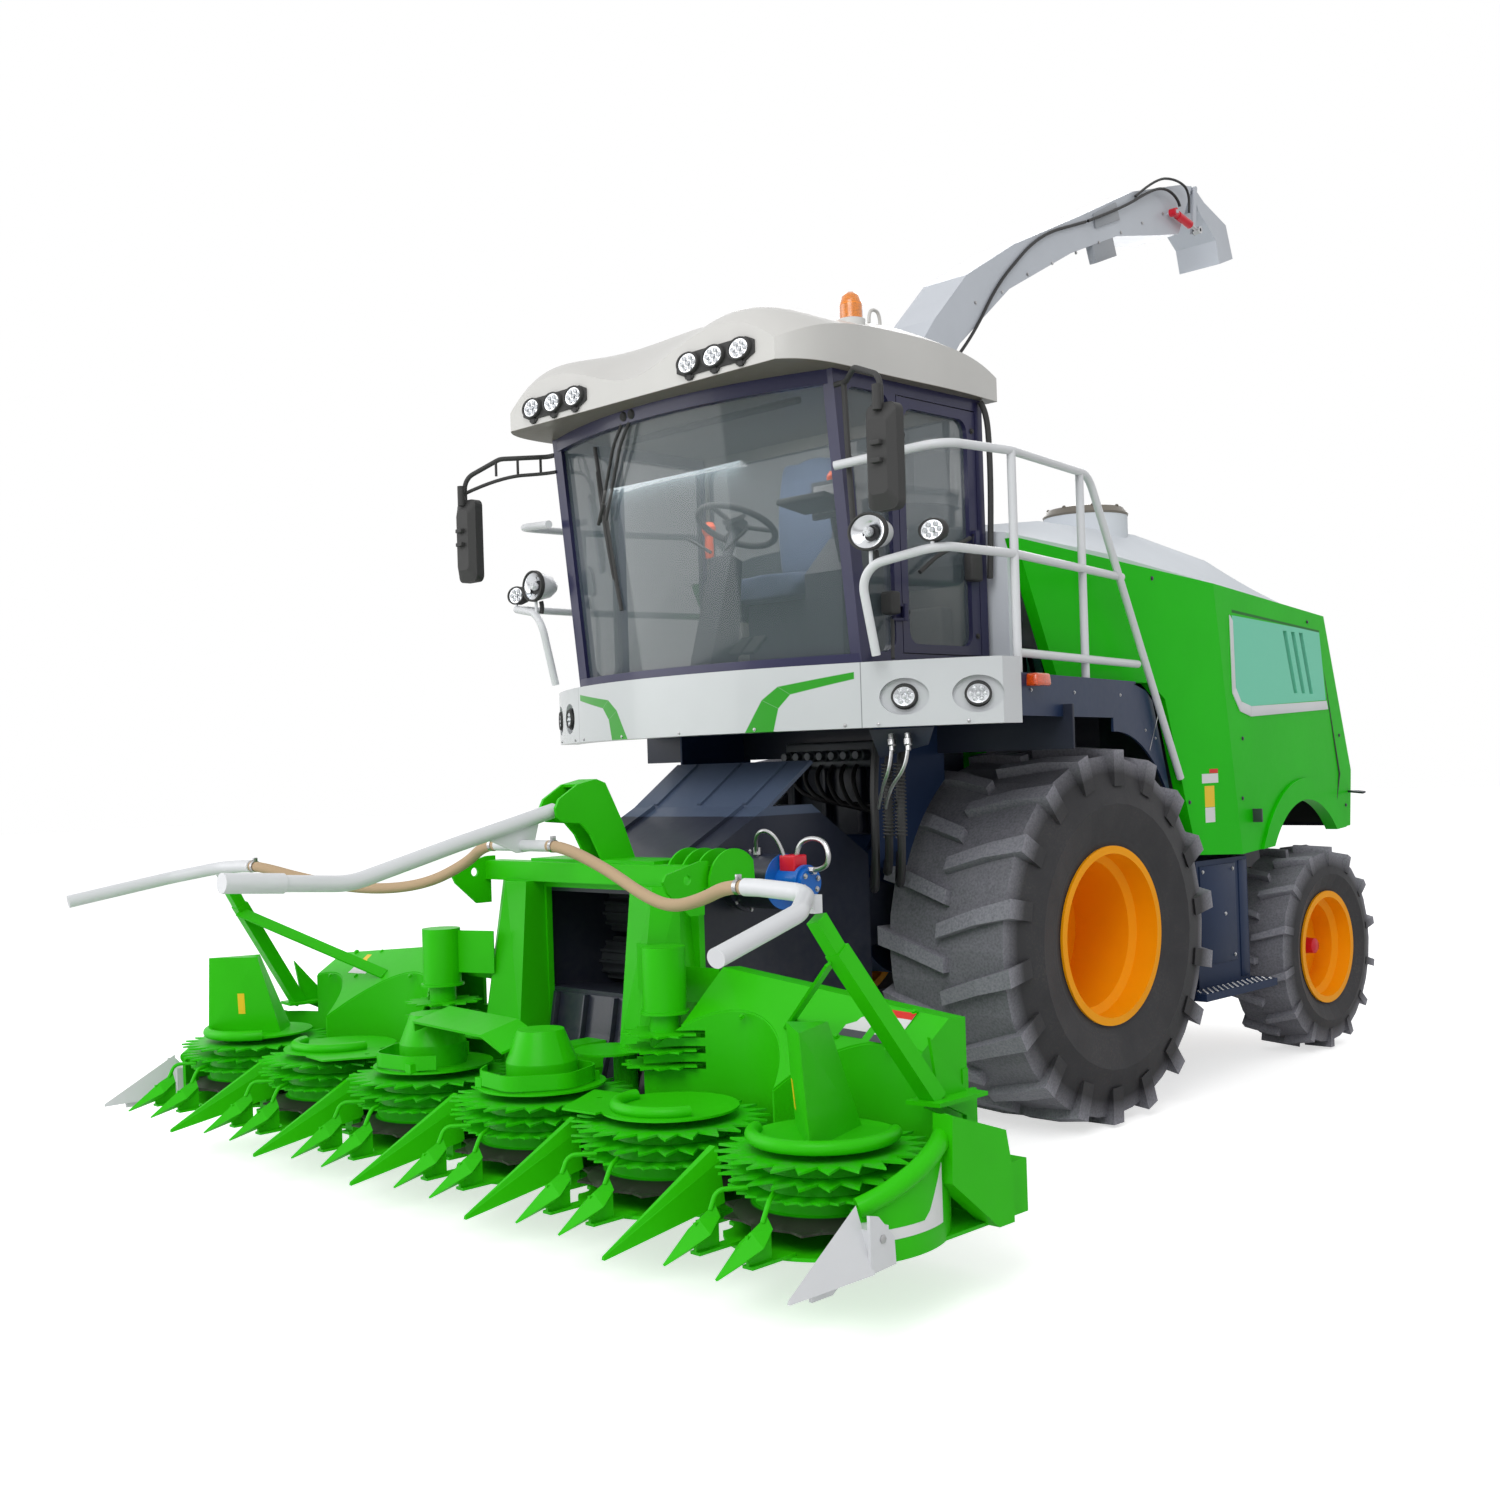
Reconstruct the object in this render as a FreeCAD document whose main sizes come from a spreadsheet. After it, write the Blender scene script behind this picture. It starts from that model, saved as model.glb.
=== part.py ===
import FreeCAD, Part
import math
import os

import Sketcher

from FreeCAD import Placement, Rotation, Vector

# Self-propelled forage harvester with a six-rotor row-independent crop header.
#
# Everything is in millimetres, +Z up, the machine drives towards -Y and its left side is +X.
# Sub-parts are drawn with Y = 0 at the front axle and Z = 0 on the ground. Their placement then moves
# them by front_axle_y, so that the finished machine stands with its origin under the middle of its length.

doc = FreeCAD.newDocument("forage_harvester")
sheet = doc.addObject("Spreadsheet::Sheet", "sizes")
sheet.Label = "sizes"

SIZES = {
    # ---- running gear
    "front_axle_y": 306,
    "wheelbase": 2457,
    "front_wheel_radius": 912,
    "front_wheel_width": 780,
    "front_wheel_track": 1680,
    "front_seat_radius": 406,
    "front_flange_radius": 432,
    "front_rim_width": 700,
    "front_rim_shelf": 110,
    "front_disc_offset": -110,
    "front_lug_count": 18,
    "rear_wheel_radius": 605,
    "rear_wheel_width": 390,
    "rear_wheel_track": 1840,
    "rear_seat_radius": 305,
    "rear_flange_radius": 330,
    "rear_rim_width": 340,
    "rear_rim_shelf": 70,
    "rear_disc_offset": -40,
    "rear_lug_count": 14,
    "lug_height": 45,
    "hub_bore": 60,
    "rim_wall": 12,
    "rim_drop": 36,
    "rim_disc": 16,
    "running_gap": 0.05,
    "kingpin_track": 1200,
    "kingpin_radius": 28,
    "knuckle_height": 200,
    # ---- chassis
    "rail_offset": "=front_wheel_track / 2 - front_wheel_width / 2 - 90",
    "rail_width": 100,
    "rail_bottom": "=front_wheel_radius + 128",
    "rail_height": 180,
    "rail_front": -350,
    "rail_rear": 3060,
    "seat_gap": 0.3,
    "engine_width": 800,
    "engine_length": 1300,
    "engine_front": 1150,
    "engine_top": 2200,
    # ---- cab
    "cab_half_width": 950,
    "cab_floor": 2210,
    "cab_top": 3450,
    "cab_rear": -600,
    "cab_front": -1505,
    "cab_lean": 132,
    "screen_bulge": 170,
    "pillar_width": 60,
    "glass_thickness": 8,
    "window_corner": 60,
    "steering_radius": 190,
    "steering_grip": 16,
    "roof_front": -1930,
    "door_front": -1220,
    "door_rear": -660,
    "door_thickness": 40,
    # ---- front beam and fenders
    "beam_half_length": 1480,
    "beam_bottom": 1930,
    "beam_height": 280,
    "beam_depth": 130,
    "fender_clearance": 70,
    "sheet_thickness": 12,
    # ---- body
    "panel_half_width": 1100,
    "panel_thickness": 60,
    "body_rear": 3200,
    # ---- crop header
    "rotor_pitch": 750,
    "rotor_radius": 360,
    "rotor_y": -2830,
    "rotor_teeth": 24,
    "saw_teeth": 36,
    "disc_thickness": 8,
    "guard_z": 262,
    "knife_z": 325,
    "saw_z": 415,
    "lower_disc_z": 468,
    "upper_disc_z": 520,
    "cover_z": 560,
    "post_radius": 70,
    "drum_radius": 215,
    "feed_drum_x": 757,
    "feed_drum_y": -2515,
    "feed_drum_foot": 600,
    "feed_drum_radius": 175,
    "drum_hub_radius": 60,
    "feeder_pivot_y": -500,
    "feeder_pivot_z": 1050,
    "feeder_half_width": 450,
    "feeder_mouth_y": -2200,
    "cutter_radius": 320,
    "lift_pin_y": -180,
    "lift_pin_z": 640,
    "lift_eye_y": -1350,
    "lift_offset": "=rail_offset - 10",
    # ---- discharge spout
    "spout_width": 300,
    "spout_wall": 6,
    "spout_axis_y": 20,
    "ring_z": 3120,
    "spout_hinge_y": -165,
    "spout_hinge_z": 3620,
    "spout_foot_y": 310,
    "spout_foot_z": 3215,
    "spout_eye_y": 335,
    "spout_eye_z": 3880,
    "flap_hinge_y": 2850,
    "flap_hinge_z": 5460,
    "flap_foot_y": 2510,
    "flap_foot_z": 5220,
    "flap_eye_y": 2800,
    "flap_eye_z": 5165,
}
for row, (alias, value) in enumerate(SIZES.items(), start=1):
    sheet.set(f"A{row}", alias)
    sheet.set(f"B{row}", str(value))
    sheet.setAlias(f"B{row}", alias)
doc.recompute()


class Sizes:
    """The driving dimensions, read back from the spreadsheet."""

    def __getattr__(self, alias):
        return float(sheet.get(alias))


class Length:
    """A length as a sum of sheet values, known both as a number and as a formula for setExpression."""

    def __init__(self, constant=0, **shares):
        self.value = constant + sum(share * getattr(s, alias) for alias, share in shares.items())
        self.formula = " + ".join([f"{constant}"] + [f"{share} * <<sizes>>.{alias}" for alias, share in shares.items()])


s = Sizes()
made = []


# ---------------------------------------------------------------- drawing helpers


def add(label, shape, placement=None):
    """Add a finished sub-part. Without a placement it rides at the front axle's place."""
    feature = doc.addObject("Part::Feature", label)
    feature.Label = label
    feature.Shape = shape
    if placement is None:
        feature.setExpression("Placement.Base.y", "<<sizes>>.front_axle_y")
    else:
        feature.Placement = placement
    made.append(feature)
    return feature


def bind(feature, **lengths):
    """Hold properties of a document object by formulas of the sheet."""
    for name, length in lengths.items():
        feature.setExpression(name.replace("_", "."), length.formula)
    return feature


def turned_body(label, profile, placement):
    """A PartDesign body: a sketched (along, radius) outline, held by the sheet, revolved about the X axis."""
    body = doc.addObject("PartDesign::Body", label)
    body.Label = label
    sketch = body.newObject("Sketcher::SketchObject", f"{label}_profile")
    sketch.AttachmentSupport = (body.Origin.OriginFeatures[3], [""])
    sketch.MapMode = "FlatFace"
    corners = [Vector(along.value, radius.value, 0) for along, radius in profile]
    count = len(corners)
    for index, corner in enumerate(corners):
        sketch.addGeometry(Part.LineSegment(corner, corners[(index + 1) % count]), False)
    for index, (along, radius) in enumerate(profile):
        sketch.addConstraint(Sketcher.Constraint("Coincident", index, 2, (index + 1) % count, 1))
        for kind, length in (("DistanceX", along), ("DistanceY", radius)):
            number = sketch.addConstraint(Sketcher.Constraint(kind, -1, 1, index, 1, length.value))
            sketch.setExpression(f"Constraints[{number}]", length.formula)
    turn = body.newObject("PartDesign::Revolution", f"{label}_turned")
    turn.Profile = sketch
    turn.ReferenceAxis = (sketch, ["H_Axis"])
    turn.Angle = 360
    body.Placement = placement
    made.append(body)
    return body


def at_axle(x, y, z):
    """A placement given from the front axle."""
    return Placement(Vector(x, y + s.front_axle_y, z), Rotation())


def face(points):
    return Part.Face(Part.makePolygon(points + points[:1]))


def skin(sections, ring=False):
    """A solid with flat facets between sections of equal corner count. A ring joins its last to its first."""
    spans = list(zip(sections, sections[1:]))
    faces = []
    if ring:
        spans.append((sections[-1], sections[0]))
    else:
        faces = [face(sections[0]), face(sections[-1])]
    for near, far in spans:
        for index in range(len(near)):
            quad = [near[index - 1], near[index], far[index], far[index - 1]]
            normal = (quad[1] - quad[0]).cross(quad[3] - quad[0])
            if normal.Length and abs((quad[2] - quad[0]).dot(normal.normalize())) < 1e-4:
                faces.append(face(quad))
            else:
                faces += [face(quad[:3]), face([quad[0], quad[2], quad[3]])]
    return Part.Solid(Part.Shell(faces))


def rounded(points, radius):
    """A face whose corners are rounded."""
    edges = []
    count = len(points)
    ends = []
    for index, corner in enumerate(points):
        back = (points[index - 1] - corner).normalize()
        ahead = (points[(index + 1) % count] - corner).normalize()
        half_turn = (math.pi - back.getAngle(ahead)) / 2
        reach = radius * math.tan(half_turn)
        middle = corner + (back + ahead).normalize() * (radius / math.cos(half_turn) - radius)
        ends.append((corner + back * reach, middle, corner + ahead * reach))
    for index, (start, middle, end) in enumerate(ends):
        edges.append(Part.Arc(start, middle, end).toShape())
        edges.append(Part.LineSegment(end, ends[(index + 1) % count][0]).toShape())
    return Part.Face(Part.Wire(edges))


def prism_x(outline, x0, x1):
    """A plate or block whose outline of (y, z) points runs from x0 to x1."""
    return face([Vector(x0, y, z) for y, z in outline]).extrude(Vector(x1 - x0, 0, 0))


def rounded_x(outline, x0, x1, radius):
    """The same with rounded corners."""
    return rounded([Vector(x0, y, z) for y, z in outline], radius).extrude(Vector(x1 - x0, 0, 0))


def prism_y(outline, y0, y1):
    """The same for (x, z) points, from y0 to y1."""
    return face([Vector(x, y0, z) for x, z in outline]).extrude(Vector(0, y1 - y0, 0))


def prism_z(outline, z0, z1):
    """The same for (x, y) points, from z0 to z1."""
    return face([Vector(x, y, z0) for x, y in outline]).extrude(Vector(0, 0, z1 - z0))


def box(x0, x1, y0, y1, z0, z1):
    return Part.makeBox(x1 - x0, y1 - y0, z1 - z0, Vector(x0, y0, z0))


def rod(radius, start, end):
    start, end = Vector(*start), Vector(*end)
    return Part.makeCylinder(radius, start.distanceToPoint(end), start, end - start)


def bar(start, end, width, depth):
    """A straight bar of rectangular section between two points."""
    start, end = Vector(*start), Vector(*end)
    shape = Part.makeBox(width, depth, start.distanceToPoint(end), Vector(-width / 2, -depth / 2, 0))
    shape.Placement = Placement(start, Rotation(Vector(0, 0, 1), end - start))
    return shape


def fuse(shapes):
    shapes = list(shapes)
    return shapes[0].multiFuse(shapes[1:]).removeSplitter() if len(shapes) > 1 else shapes[0]


def mirrored(shape):
    """The same piece for the machine's right side."""
    return shape.mirror(Vector(0, 0, 0), Vector(1, 0, 0))


def pair(shape):
    return Part.makeCompound([shape, mirrored(shape)])


def revolved(profile, axis=Vector(1, 0, 0)):
    """Turn a closed profile of (along, radius) points about the axle line or, for axis Z, a shaft."""
    if axis.x:
        points = [Vector(along, 0, radius) for along, radius in profile]
    else:
        points = [Vector(radius, 0, along) for along, radius in profile]
    return face(points).revolve(Vector(0, 0, 0), axis, 360)


def sector(profile, centre, start, turn):
    """Turn a closed (radius, z) profile about an upright axis, from one angle through part of a turn."""
    shape = face([Vector(radius, 0, z) for radius, z in profile]).revolve(Vector(), Vector(0, 0, 1), turn)
    shape.rotate(Vector(), Vector(0, 0, 1), start)
    shape.translate(Vector(*centre, 0))
    return shape


def path(points, bend):
    """Straight runs joined by tangent arcs, each no larger than its two runs allow."""
    points = [Vector(*p) for p in points]
    edges = []
    start = points[0]
    for before, corner, after in zip(points, points[1:], points[2:]):
        back = (before - corner).normalize()
        ahead = (after - corner).normalize()
        half_turn = (math.pi - back.getAngle(ahead)) / 2
        shorter = min(before.distanceToPoint(corner), after.distanceToPoint(corner))
        radius = min(bend, 0.45 * shorter / math.tan(half_turn))
        reach = radius * math.tan(half_turn)
        middle = corner + (back + ahead).normalize() * (radius / math.cos(half_turn) - radius)
        edges.append(Part.LineSegment(start, corner + back * reach).toShape())
        edges.append(Part.Arc(corner + back * reach, middle, corner + ahead * reach).toShape())
        start = corner + ahead * reach
    edges.append(Part.LineSegment(start, points[-1]).toShape())
    return Part.Wire(edges)


def tube(points, radius, bend=10000.0):
    """A round bar, pipe or hose along a path."""
    spine = path(points, bend)
    start = Vector(*points[0])
    circle = Part.Wire(Part.makeCircle(radius, start, Vector(*points[1]) - start))
    return spine.makePipeShell([circle], True, False)


def lug(stations):
    """A tyre bar through stations of (x, y front, y rear, z foot, z top)."""
    return skin(
        [[Vector(x, y0, z0), Vector(x, y1, z0), Vector(x, y1, z1), Vector(x, y0, z1)] for x, y0, y1, z0, z1 in stations]
    )


def ring_path(points, radius):
    """A round bar along a smooth curve through the points."""
    curve = Part.BSplineCurve()
    curve.interpolate([Vector(*point) for point in points])
    spine = Part.Wire([curve.toShape()])
    circle = Part.Wire(Part.makeCircle(radius, curve.value(0), curve.tangent(0)[0]))
    return spine.makePipeShell([circle], True, False)


def strip(points, thickness, height, bend):
    """A flat bar on edge, bent along a level path."""
    start = Vector(*points[0])
    along = (Vector(*points[1]) - start).normalize()
    across = along.cross(Vector(0, 0, 1)) * (thickness / 2)
    up = Vector(0, 0, height / 2)
    corners = [start + across + up, start - across + up, start - across - up, start + across - up]
    profile = Part.makePolygon(corners + corners[:1])
    return path(points, bend).makePipeShell([profile], True, False)


def arc_sheet(half_width, y, bulge, depth, z):
    """A closed outline at height z: a bowed front edge, the same edge depth further back, and two ends."""
    front = Part.Arc(Vector(-half_width, y, z), Vector(0, y - bulge, z), Vector(half_width, y, z))
    rear = Part.Arc(
        Vector(half_width, y + depth, z), Vector(0, y + depth - bulge, z), Vector(-half_width, y + depth, z)
    )
    right = Part.LineSegment(Vector(half_width, y, z), Vector(half_width, y + depth, z))
    left = Part.LineSegment(Vector(-half_width, y + depth, z), Vector(-half_width, y, z))
    return Part.Wire([part.toShape() for part in (front, right, rear, left)])


# ---------------------------------------------------------------- wheels


def tyre(radius, width, seat_radius, flange_radius, rim_width, lug_count, bent):
    """A cleated tyre about the X axis, with straight or bent bars that point forwards at the top.

    The carcass has two facets per pair of bars, so that every bar stands on the same place of a facet.
    """
    half = width / 2
    bead = rim_width / 2 - 15
    crown = radius - s.lug_height
    depth = crown - seat_radius
    facets = 2 * int(lug_count)
    corner = 1 / math.cos(math.pi / facets)
    side = [
        (bead, (seat_radius + 0.3) * corner),
        (bead, (flange_radius + 4) * corner),
        (half, seat_radius + 0.5 * depth),
        (0.84 * half, crown),
    ]
    outline = side + [(-along, r) for along, r in side[::-1]]
    sections = []
    for index in range(facets):
        angle = 2 * math.pi * index / facets
        sections.append([Vector(x, r * math.sin(angle), r * math.cos(angle)) for x, r in outline])
    carcass = skin(sections, True)
    bar_width = 0.075 * width
    low = crown - 40
    knee = [(0.5 * half, -0.6 * bar_width, 0.65 * bar_width, low, 0)] if bent else []
    stations = [
        (-0.05 * half, -1.75 * bar_width, -0.6 * bar_width, low, 0),
        *knee,
        (0.97 * half, 0.1 * bar_width, 1.6 * bar_width, seat_radius + 0.68 * depth, 0.3 * s.lug_height),
    ]
    run = lug(
        [
            (x, y0, y1, foot, math.sqrt(radius**2 - max(abs(y0), abs(y1)) ** 2) - drop)
            for x, y0, y1, foot, drop in stations
        ]
    )
    bars = []
    for index in range(int(lug_count)):
        for shape, phase in ((run, 0), (mirrored(run), 0.5)):
            turned = shape.copy()
            turned.rotate(Vector(), Vector(1, 0, 0), (index + phase) * 360 / lug_count)
            bars.append(turned)
    return carcass.multiFuse(bars).removeSplitter()


def rim_profile(end, hub_back, cap_length):
    """A deep-dished wheel: stepped barrel, disc, and a hub bored for its axle end."""
    half = {f"{end}_rim_width": 0.5}
    seat, flange, offset = f"{end}_seat_radius", f"{end}_flange_radius", f"{end}_disc_offset"

    def along(constant=0, side=1, shelf=False):
        shares = {alias: side * share for alias, share in half.items()}
        if shelf:
            shares[f"{end}_rim_shelf"] = -side
        return Length(constant, **shares)

    def from_disc(constant=0, **shares):
        return Length(constant, **{offset: 1}, **shares)

    wall = s.rim_wall
    lip = Length(**{seat: 1, "rim_wall": -1})
    outer = Length(**{flange: 1})
    bed = Length(**{seat: 1})
    well = Length(**{seat: 1, "rim_drop": -1})
    well_inside = Length(**{seat: 1, "rim_drop": -1, "rim_wall": -1})
    bore = Length(hub_bore=1)
    hub = Length(80, hub_bore=1)
    zero = Length()
    return [
        (along(), lip),
        (along(), outer),
        (along(-wall), outer),
        (along(-wall), bed),
        (along(shelf=True), bed),
        (along(-25, shelf=True), well),
        (along(25, -1, True), well),
        (along(0, -1, True), bed),
        (along(wall, -1), bed),
        (along(wall, -1), outer),
        (along(0, -1), outer),
        (along(0, -1), lip),
        (along(8, -1, True), lip),
        (along(33, -1, True), well_inside),
        (from_disc(rim_disc=-1), well_inside),
        (from_disc(rim_disc=-1), hub),
        (Length(hub_back), hub),
        (Length(hub_back), bore),
        (from_disc(rim_disc=-1), bore),
        (from_disc(rim_disc=-1), zero),
        (from_disc(cap_length), zero),
        (from_disc(cap_length), bore),
        (from_disc(), bore),
        (from_disc(), well_inside),
        (along(-33, shelf=True), well_inside),
        (along(-8, shelf=True), lip),
    ]


def build_wheels():
    front_tyre = tyre(
        s.front_wheel_radius,
        s.front_wheel_width,
        s.front_seat_radius,
        s.front_flange_radius,
        s.front_rim_width,
        s.front_lug_count,
        bent=True,
    )
    rear_tyre = tyre(
        s.rear_wheel_radius,
        s.rear_wheel_width,
        s.rear_seat_radius,
        s.rear_flange_radius,
        s.rear_rim_width,
        s.rear_lug_count,
        bent=False,
    )
    places = {
        "front": (front_tyre, s.front_wheel_track / 2, 0, s.front_wheel_radius, -330, 20),
        "rear": (rear_tyre, s.rear_wheel_track / 2, s.wheelbase, s.rear_wheel_radius, -150, 70),
    }
    half_turn = Rotation(Vector(0, 0, 1), 180)
    for end, (tyre_shape, x, y, z, hub_back, cap_length) in places.items():
        left, right = at_axle(x, y, z), at_axle(-x, y, z)
        add(f"tyre_{end}_left", tyre_shape, left)
        add(f"tyre_{end}_right", mirrored(tyre_shape), right)
        profile = rim_profile(end, hub_back, cap_length)
        turned_body(f"rim_{end}_left", profile, left)
        turned_body(f"rim_{end}_right", profile, Placement(right.Base, half_turn))


# ---------------------------------------------------------------- chassis, axles, engine


def knuckle():
    """Left rear steering knuckle: kingpin, upright barrel and axle end."""
    x = s.kingpin_track / 2
    y, z = s.wheelbase, s.rear_wheel_radius
    half = s.knuckle_height / 2
    disc_back = s.rear_wheel_track / 2 + s.rear_disc_offset - 16
    upright = rod(65, (x, y, z - half), (x, y, z + half))
    pin = rod(s.kingpin_radius, (x, y, z - half - 45), (x, y, z + half + 45))
    hub = rod(95, (x, y, z), (s.rear_wheel_track / 2 - 155, y, z))
    stub = rod(s.hub_bore - s.running_gap, (x, y, z), (disc_back - 3, y, z))
    return fuse([upright, pin, hub, stub])


def build_axles():
    z = s.front_wheel_radius
    disc_back = s.front_wheel_track / 2 + s.front_disc_offset - 16
    hub_back = s.front_wheel_track / 2 - 330
    half = fuse(
        [
            rod(115, (0, 0, z), (hub_back - 60, 0, z)),
            rod(175, (hub_back - 70, 0, z), (hub_back - 5, 0, z)),
            rod(s.hub_bore - s.running_gap, (0, 0, z), (disc_back - 3, 0, z)),
            prism_x([(-110, z), (110, z), (150, s.rail_bottom), (-150, s.rail_bottom)],
                    s.rail_offset - 50, s.rail_offset + 50),
        ]
    )
    gearbox = rod(150, (-120, 0, z), (120, 0, z))
    add("front_axle", fuse([half, mirrored(half), gearbox]))

    x, y, z = s.kingpin_track / 2, s.wheelbase, s.rear_wheel_radius
    ear_gap = s.knuckle_height / 2 + 0.4
    ears = []
    for sign in (1, -1):
        z0 = z + sign * ear_gap
        ear = fuse(
            [
                rod(62, (x, y, z0), (x, y, z0 + sign * 40)),
                box(x - 150, x, y - 62, y + 62, min(z0, z0 + sign * 40), max(z0, z0 + sign * 40)),
            ]
        )
        ears.append(ear.cut(rod(s.kingpin_radius + s.running_gap, (x, y, z0 - 100), (x, y, z0 + 100))))
    web = box(x - 150, x - 100, y - 62, y + 62, z - ear_gap - 40, z + ear_gap + 40)
    beam = box(0, x - 110, y - 80, y + 80, z - 70, z + 90)
    half = fuse(ears + [web, beam])
    bolster = prism_y(
        [(-130, z + 60), (130, z + 60), (s.rail_offset + 40, s.rail_bottom), (-s.rail_offset - 40, s.rail_bottom)],
        y - 70,
        y + 70,
    )
    add("rear_axle", fuse([half, mirrored(half), bolster]))
    add("knuckle_left", knuckle())
    add("knuckle_right", mirrored(knuckle()))


def build_chassis():
    top = s.rail_bottom + s.rail_height
    inner = s.rail_offset - s.rail_width / 2
    outer = s.rail_offset + s.rail_width / 2
    under = s.cab_floor - 0.4
    rail = box(inner, outer, s.rail_front, s.rail_rear, s.rail_bottom, top)
    column = prism_x([(-560, under - 150), (-150, under - 150), (-150, top - 20), (-330, top - 20)],
                     s.rail_offset + 10, s.rail_offset + 70)
    foot = box(inner, s.rail_offset + 70, -340, -160, top - 60, top)
    under_floor = box(s.rail_offset + 10, s.rail_offset + 70, s.cab_front + 60, -150, under - 150, under)
    hood_post = box(inner, outer, 2500, 2600, top, 2480)
    pin = rod(22, (s.lift_offset - 44, s.lift_pin_y, s.lift_pin_z), (s.lift_offset + 44, s.lift_pin_y, s.lift_pin_z))
    hanger = prism_x(
        [(s.lift_pin_y - 45, s.lift_pin_z - 45), (s.lift_pin_y + 45, s.lift_pin_z - 45), (-160, s.rail_bottom + 40),
         (-330, s.rail_bottom + 40)],
        s.lift_offset - 58,
        s.lift_offset - 44,
    )
    outer_hanger = hanger.translated(Vector(102, 0, 0))
    half = fuse([rail, column, foot, under_floor, hood_post, pin, hanger, outer_hanger])
    cross = [box(-inner - 5, inner + 5, y, y + 90, s.rail_bottom + 20, top - 20) for y in (900, 1700, 2850)]
    hitch_plate = box(-inner - 5, inner + 5, s.rail_rear - 60, s.rail_rear + 20, 760, s.rail_bottom + 60)
    jaws = [box(-60, 60, s.rail_rear, s.rail_rear + 170, z, z + 25) for z in (800, 900)]
    pin_hole = rod(17, (0, s.rail_rear + 110, 700), (0, s.rail_rear + 110, 1000))
    hitch = fuse([hitch_plate] + jaws).cut(pin_hole)
    add("chassis_frame", fuse([half, mirrored(half), hitch] + cross))
    engine = doc.addObject("Part::Box", "engine_block")
    engine.Label = "engine_block"
    bind(
        engine,
        Length=Length(engine_width=1),
        Width=Length(engine_length=1),
        Height=Length(engine_top=1, rail_bottom=-1, rail_height=-1, seat_gap=-1),
        Placement_Base_x=Length(engine_width=-0.5),
        Placement_Base_y=Length(engine_front=1, front_axle_y=1),
        Placement_Base_z=Length(rail_bottom=1, rail_height=1, seat_gap=1),
    )
    made.append(engine)

    y, z = s.feeder_pivot_y, s.feeder_pivot_z
    drum = rod(s.cutter_radius, (25 - inner, y, z), (inner - 25, y, z))
    trunnion = rod(60, (-410, y, z), (410, y, z))
    half_duct = s.spout_width / 2 + 10
    casing = prism_x(
        [(y - 140, z + 280), (y + 200, z + 180), (-150, 1420), (150, 1950), (150, s.ring_z - 60),
         (-110, s.ring_z - 60), (-110, 2080), (-420, 1560)],
        -half_duct,
        half_duct,
    )
    collar = rod(235, (0, s.spout_axis_y, 2900), (0, s.spout_axis_y, s.ring_z - 0.4))
    mounts = box(-inner + 0.1, inner - 0.1, -330, -230, z + 40, z + 160)
    add("chopper_housing", fuse([drum, trunnion, casing, collar, mounts]))


# ---------------------------------------------------------------- body

QUARTER_TAPER = 0.11
BEND_TOP = (1220, 2690)
BEND_FOOT = (1450, 1215)


def quarter_x(y, z):
    """Outer X of the body side: flat up to the slanted bend line, and drawn in behind it."""
    bend = Vector(0, BEND_FOOT[0] - BEND_TOP[0], BEND_FOOT[1] - BEND_TOP[1]).normalize()
    behind = (z - BEND_TOP[1]) * bend.y - (y - BEND_TOP[0]) * bend.z
    return s.panel_half_width - QUARTER_TAPER * max(behind, 0)


def louvre(y):
    """One curved slot of the body side's air intake."""
    x, top, foot = s.panel_half_width - 400, 2480, 2115
    middle = (top + foot) / 2
    front = Part.Arc(Vector(x, y, top), Vector(x, y + 62, middle), Vector(x, y + 130, foot)).toShape()
    rear = Part.Arc(Vector(x, y + 185, foot), Vector(x, y + 122, middle), Vector(x, y + 58, top)).toShape()
    ends = [Part.LineSegment(Vector(x, y + 130, foot), Vector(x, y + 185, foot)).toShape(),
            Part.LineSegment(Vector(x, y + 58, top), Vector(x, y, top)).toShape()]
    return Part.Face(Part.Wire([front, ends[0], rear, ends[1]])).extrude(Vector(600, 0, 0))


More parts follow.
